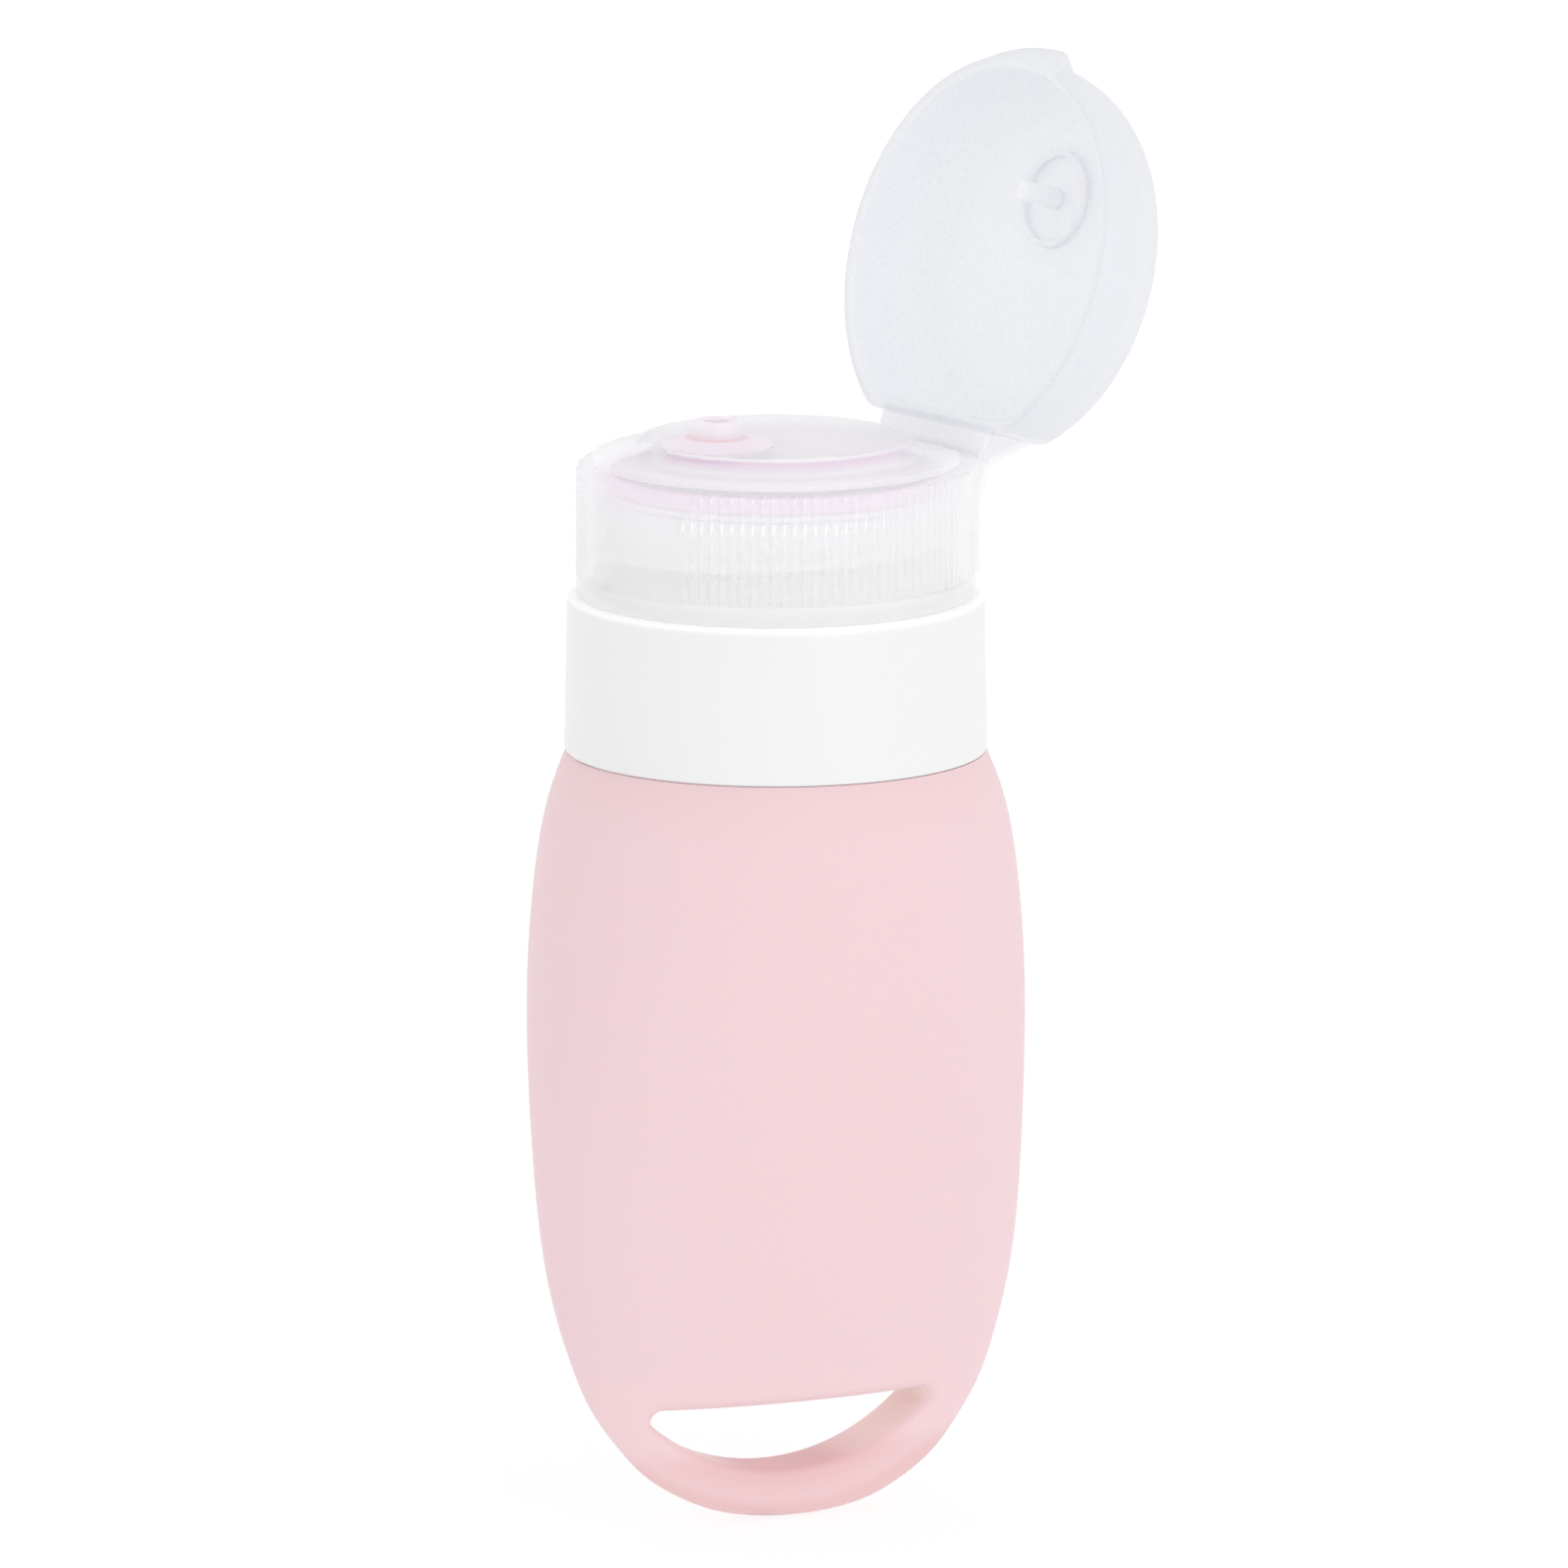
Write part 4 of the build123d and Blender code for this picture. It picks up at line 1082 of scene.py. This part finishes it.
class BOTTLE_OT_stage(bpy.types.Operator):
    """Adds the camera, the even light, the large lamp and the white floor."""

    bl_idname = "bottle.stage"
    bl_label = "Stage"

    def execute(self, context):
        sizes, scene = settings(context).stage, context.scene
        scene.view_settings.view_transform = "Standard"
        azimuth, elevation = sizes.azimuth, sizes.elevation
        level = math.cos(elevation)
        back = Vector((math.sin(azimuth) * level, -math.cos(azimuth) * level, math.sin(elevation)))
        right = Vector((math.cos(azimuth), math.sin(azimuth), 0))
        target = Vector((0, 0, sizes.target_height)) + right * sizes.target_side
        camera = bpy.data.cameras.new("camera")
        camera.lens, camera.sensor_width = sizes.lens, sizes.sensor
        distance = sizes.frame_width * sizes.lens / sizes.sensor
        camera.clip_start, camera.clip_end = distance / 100, distance * 10
        scene.camera = aimed("camera", camera, target + back * distance, target)
        lamp = bpy.data.lights.new("key", "AREA")
        lamp.shape = "RECTANGLE"
        lamp.size, lamp.size_y = LAMP_SIZE
        lamp.energy = sizes.key
        aimed("key", lamp, Vector(LAMP_PLACE), Vector(LAMP_TARGET))
        self.add_sky(scene, sizes)
        self.add_floor(scene, sizes, FOOT_Z - settings(context).body.sag)
        return {"FINISHED"}

    @staticmethod
    def add_sky(scene, sizes):
        """Even light, and plain white for rays that show what is behind the bottle: those from the camera,
        mirrored and let through."""
        scene.world = bpy.data.worlds.new("sky")
        nodes = Nodes(scene.world)
        ray = nodes.tree.nodes.new("ShaderNodeLightPath").outputs
        inputs = {0: ray["Is Camera Ray"], 1: ray["Is Glossy Ray"]}
        either = nodes.add("ShaderNodeMath", inputs, operation="MAXIMUM")
        inputs = {0: either, 1: ray["Is Transmission Ray"]}
        shown = nodes.add("ShaderNodeMath", inputs, operation="MAXIMUM")
        light = nodes.add("ShaderNodeBackground", {"Strength": sizes.sky, "Color": (*WHITE, 1)})
        white = nodes.add("ShaderNodeBackground", {"Color": (*WHITE, 1)})
        both = nodes.add("ShaderNodeMixShader", {0: shown, 1: light, 2: white})
        nodes.add("ShaderNodeOutputWorld", {"Surface": both})

    @staticmethod
    def add_floor(scene, sizes, z):
        """White floor that keeps a little of the bottle's shadow."""
        material = bpy.data.materials.new("floor_white")
        nodes = Nodes(material)
        matte = nodes.add("ShaderNodeBsdfDiffuse", {"Color": (*FLOOR_WHITE, 1)})
        glow = nodes.add("ShaderNodeEmission", {"Strength": FLOOR_GLOW})
        both = nodes.add("ShaderNodeMixShader", {0: sizes.floor_glow, 1: matte, 2: glow})
        nodes.add("ShaderNodeOutputMaterial", {"Surface": both})
        mesh = bpy.data.meshes.new("floor")
        corners = [(x * FLOOR_REACH, y * FLOOR_REACH, z) for x, y in ((-1, -1), (1, -1), (1, 1), (-1, 1))]
        mesh.from_pydata(corners, [], [(0, 1, 2, 3)])
        mesh.materials.append(material)
        floor = bpy.data.objects.new("floor", mesh)
        scene.collection.objects.link(floor)


class BOTTLE_OT_body(bpy.types.Operator):
    """Adds the soft silicone body with its hanging slot, hollow to its floor."""

    bl_idname = "bottle.body"
    bl_label = "Soft Body"

    def execute(self, context):
        every = settings(context)
        sizes = every.body
        skin, edge = body_skin(sizes)
        surfaces = [(skin, False, True), (body_inside(sizes, edge), False, True)]
        piece = new_piece("soft_body", surfaces, silicone_finish("pink_silicone", every.finish))
        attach(piece, "bottle")
        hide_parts("bottle_body")
        radius, centre_z = slot_floor(sizes)

        def slot_wall(x, y, z):
            under_front = front_depth(sizes, x, z) - np.abs(y)
            return eased((under_front - 0.0005) / 0.0012) * (z < sizes.slot_height / 2 + 0.0001)

        # Painted shade: deeper colour low on the body under the slot, deepest along the slot's floor and
        # towards the foot's edge, less on the slot's wall away from its middle, and a little under the
        # collar
        def solid(places):
            x, y, z = places.T
            off = np.hypot(x, z - centre_z) - radius
            wall = slot_wall(x, y, z) * eased((np.abs(x) - 0.003) / 0.006)
            along_slot = 0.95 * bell(off, 0, 0.0018)
            along_edge = 0.85 * eased((off - 0.003) / 0.002)
            band = np.minimum(along_slot + along_edge + 0.45, 1)
            low = eased((-0.0002 - z) / 0.003)
            under_collar = 0.22 * bell(z, SHOULDER_Z, 0.004)
            return low * band * (1 - wall) + under_collar

        def lit(places):
            x, y, z = places.T
            return 0.56 * slot_wall(x, y, z) * eased((np.abs(x) - 0.004) / 0.007)

        paint(piece, "solid", solid)
        paint(piece, "lit", lit)
        return {"FINISHED"}


class BOTTLE_OT_neck(bpy.types.Operator):
    """Adds the collar and dresses the neck insert and the slip washer."""

    bl_idname = "bottle.neck"
    bl_label = "Collar and Neck"

    def execute(self, context):
        every = settings(context)
        finish = every.finish
        grid = turned_profile(collar_corners(every.cap), circle(COLLAR_STEPS))
        collar = new_piece("collar", [(grid, True, True)], gloss_finish("collar_white", finish.collar))
        # Painted highlight along the collar's top edge
        paint(collar, "glint", lambda places: eased((places[:, 2] - COLLAR_TOP_Z + 0.0007) / 0.0004))
        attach(collar, "bottle")
        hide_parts("collar_ring")
        dress("neck_insert", gloss_finish("neck_white", finish.neck))
        dress("slip_washer", gloss_finish("washer_film", finish.neck))
        return {"FINISHED"}


class BOTTLE_OT_valve(bpy.types.Operator):
    """Adds the soft valve with its cone and nozzle."""

    bl_idname = "bottle.valve"
    bl_label = "Soft Valve"

    def execute(self, context):
        every = settings(context)
        sizes = every.valve
        grid = turned_profile(valve_corners(sizes, every.cap), circle(VALVE_STEPS), longest=0.0008)
        finish = valve_finish("valve_silicone", every.finish)
        piece = new_piece("soft_valve", [(to_bottle(grid), True, True)], finish)

        def tint(places):
            out, degrees, z = round_cap(places)
            off, _ = round_nozzle(places, sizes.offset)
            brim = 0.16 * bell(z, NOZZLE_Z, 0.0002)
            inside = 0.15 * (off < 1.2 * sizes.bore_radius)
            behind_pad = 0.8 * bell(degrees, 0, 72, 4)
            edge = (1 - behind_pad) * eased((out - sizes.flange_radius + 0.0007) / 0.0003)
            wall = 0.12 * (z < BOSS_Z - 0.0004)
            cone = 0.26 * (z > BOSS_Z - 0.0002) * (off > sizes.nozzle_radius + 0.0002)
            return np.maximum(edge, wall) + brim + inside + cone

        def ring(places):
            off, z = round_nozzle(places, sizes.offset)
            return 0.4 * bell(z, BOSS_Z + sizes.cone_rise, 0.00025) * (off < sizes.cone_top - 0.0002)

        paint(piece, "tint", tint)
        paint(piece, "ring", ring)
        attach(piece, "cap")
        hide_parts("valve")
        return {"FINISHED"}


class BOTTLE_OT_cap(bpy.types.Operator):
    """Adds the ribbed screw cap with its disc, boss and hinge pad."""

    bl_idname = "bottle.cap"
    bl_label = "Screw Cap"

    def execute(self, context):
        every = settings(context)
        finish, sizes = every.finish, every.cap
        material = milky_finish(
            "cap_milky", finish.plastic, finish.blush, finish.clarity, finish.spread, finish.cap_lift,
            rough=(0.20, 0.30), grain=(5200.0, 0.000002), contrast=1.03,
        )
        grid = cap_rows(sizes, every.valve, circle(STEPS_PER_RIB * sizes.rib_count))
        piece = new_piece("screw_cap", [(to_bottle(grid), True, True)], material)
        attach(piece, "cap")
        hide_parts("cap_shell")

        # Painted highlights: short dashes on the rib crests and a line on the boss's top edge, on the side
        # that faces the camera at rest; and painted light that whitens the plain foot, the disc and the
        # boss's wall in their shade
        def glint(places):
            out, degrees, z = round_cap(places)
            crest = eased((out - sizes.skirt_radius + 0.7 * sizes.rib_depth) / (0.4 * sizes.rib_depth))
            middle = off_rib(degrees, sizes.rib_count) < 0.2
            lower_row, upper_row = SKIRT_Z + 0.0095, SKIRT_Z + 0.0126
            dashes = bell(z, lower_row, 0.0005, 4) + 0.4 * bell(z, upper_row, 0.0004, 4)
            ribs = 0.95 * crest * middle * dashes * bell(degrees, -135, 32, 4)
            rounding = bell(z, BOSS_Z - 0.00008, 0.0001) * (np.abs(out - sizes.boss_top) < 0.0003)
            edge = 0.85 * rounding * bell(degrees, -125, 62, 4)
            foot = 0.15 * (z < SKIRT_Z + sizes.plain_band - 0.0001)
            step = 0.42 * (z > PARTING_Z + 0.00003) * (out > sizes.boss_top - 0.0001)
            below_boss = eased((BOSS_Z - 0.0007 - z) / 0.0003)
            return np.maximum(ribs, edge) + foot + step * below_boss

        # Painted pink glow on the upper wall of the boss, on the side that faces the camera at rest,
        # standing in for the valve's pink seen through its edge
        def blush(places):
            out, degrees, z = round_cap(places)
            wall = np.abs(out - sizes.boss_top) < 0.0008
            high = eased((z - BOSS_Z + 0.0011) / 0.0003) * eased((BOSS_Z - 0.0001 - z) / 0.0002)
            return wall * high * bell(degrees, -125, 70, 4)

        paint(piece, "glint", glint)
        paint(piece, "blush", blush)
        return {"FINISHED"}


class BOTTLE_OT_lid(bpy.types.Operator):
    """Adds the open flip lid with its thumb lip, plug ring, pin and web, and the hinge's film."""

    bl_idname = "bottle.lid"
    bl_label = "Flip Lid"

    def execute(self, context):
        every = settings(context)
        finish, sizes = every.finish, every.lid
        material = milky_finish(
            "lid_milky", finish.lid, finish.lid_shade, finish.lid_clarity, finish.spread, finish.lid_glow,
            rough=(0.38, 0.50), grain=(2600.0, 0.00002), contrast=1.09,
        )
        surfaces = [(lid_rows(sizes, circle(LID_STEPS)), False, True)]
        surfaces += lid_fittings(sizes, every.cap, every.valve)
        opened = [(to_open(grid), rows, columns) for grid, rows, columns in surfaces]
        piece = new_piece("dome_lid", opened, material)
        under = PARTING_Z + sizes.gap + sizes.height - sizes.wall

        # Painted light: the web, the plug ring and the pin are whiter and denser so that they show less
        # shade
        def glint(places):
            x, y, z = from_open(places).T
            off = np.hypot(x + every.valve.offset, y)
            plug = 0.40 + 0.18 * (off < sizes.plug_radius / 2)
            below = (z < under - 0.0001) * (off < sizes.plug_radius + 0.0002)
            return np.maximum(0.5 * (x > sizes.chord + 0.0001), plug * below)

        # Painted shade: darker colour on the outside of the lid's dome, deepening towards its edge, away
        # from the straight wall
        def blush(places):
            x, y, z = from_open(places).T
            out, high = np.hypot(x, y), z - PARTING_Z - sizes.gap
            crown = sizes.radius - sizes.shoulder
            level = np.clip((high - sizes.straight) / (sizes.height - sizes.straight), 0, 1)
            skin = crown + sizes.shoulder * np.sqrt(1 - level**2)
            outside = (out > skin - sizes.wall / 2) * (x < sizes.chord - 0.0005)
            return 0.5 * outside * eased((out - crown + 0.001) / 0.003)

        paint(piece, "glint", glint)
        paint(piece, "blush", blush)
        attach(piece, "lid")
        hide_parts("flip_lid")
        film = new_piece("film_hinge", [(to_bottle(film_bar(sizes, every.cap)), False, True)], material)
        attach(film, "cap")
        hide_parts("film_hinge_left", "film_hinge_right")
        return {"FINISHED"}


class BOTTLE_OT_strap(bpy.types.Operator):
    """Adds the hinge's spring strap between the cap and the lid, in the shape it has with the lid open."""

    bl_idname = "bottle.strap"
    bl_label = "Hinge Strap"

    def execute(self, context):
        every = settings(context)
        lid = every.lid
        material = bpy.data.materials.get("cap_milky")
        if material is None:
            raise RuntimeError("add the screw cap before its strap, which takes the cap's finish")
        path = strap_path(lid, every.cap)
        bar = swept_bar(path, 6, lid.strap_thickness / 2, lid.strap_width / 2, lid.strap_thickness * 0.3)
        piece = new_piece("spring_strap", [(to_bottle(bar), False, True)], material)
        paint(piece, "glint", lambda places: np.full(len(places), 0.1))
        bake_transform(piece)
        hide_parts("hinge_strap")
        return {"FINISHED"}


class BOTTLE_PT_panel(bpy.types.Panel):
    """Lists the bottle's operators and sizes."""

    bl_idname = "BOTTLE_PT_panel"
    bl_label = "Squeeze Bottle"
    bl_space_type = "VIEW_3D"
    bl_region_type = "UI"
    bl_category = "Squeeze Bottle"

    def draw(self, context):
        column = self.layout.column(align=True)
        for operator in OPERATORS:
            column.operator(operator.bl_idname)
        every = settings(context)
        for group in (every.body, every.cap, every.valve, every.lid, every.finish, every.stage):
            box = self.layout.box()
            for key in group.bl_rna.properties.keys():
                if key not in ("rna_type", "name"):
                    box.prop(group, key)


OPERATORS = (
    BOTTLE_OT_stage,
    BOTTLE_OT_body,
    BOTTLE_OT_neck,
    BOTTLE_OT_valve,
    BOTTLE_OT_cap,
    BOTTLE_OT_lid,
    BOTTLE_OT_strap,
)
CLASSES = (
    BOTTLE_PG_body,
    BOTTLE_PG_cap,
    BOTTLE_PG_valve,
    BOTTLE_PG_lid,
    BOTTLE_PG_finish,
    BOTTLE_PG_stage,
    BOTTLE_PG_all,
    *OPERATORS,
    BOTTLE_PT_panel,
)


def register():
    """Registers the classes and hangs the settings on the scene."""
    for item in CLASSES:
        bpy.utils.register_class(item)
    bpy.types.Scene.squeeze_bottle = PointerProperty(type=BOTTLE_PG_all)


def unregister():
    """Takes back what register did."""
    del bpy.types.Scene.squeeze_bottle
    for item in reversed(CLASSES):
        bpy.utils.unregister_class(item)


def main():
    """Registers the classes and builds the stage and every piece."""
    register()
    bpy.ops.bottle.stage()
    bpy.ops.bottle.body()
    bpy.ops.bottle.neck()
    bpy.ops.bottle.valve()
    bpy.ops.bottle.cap()
    bpy.ops.bottle.lid()
    bpy.ops.bottle.strap()


if __name__ == "__main__":
    main()
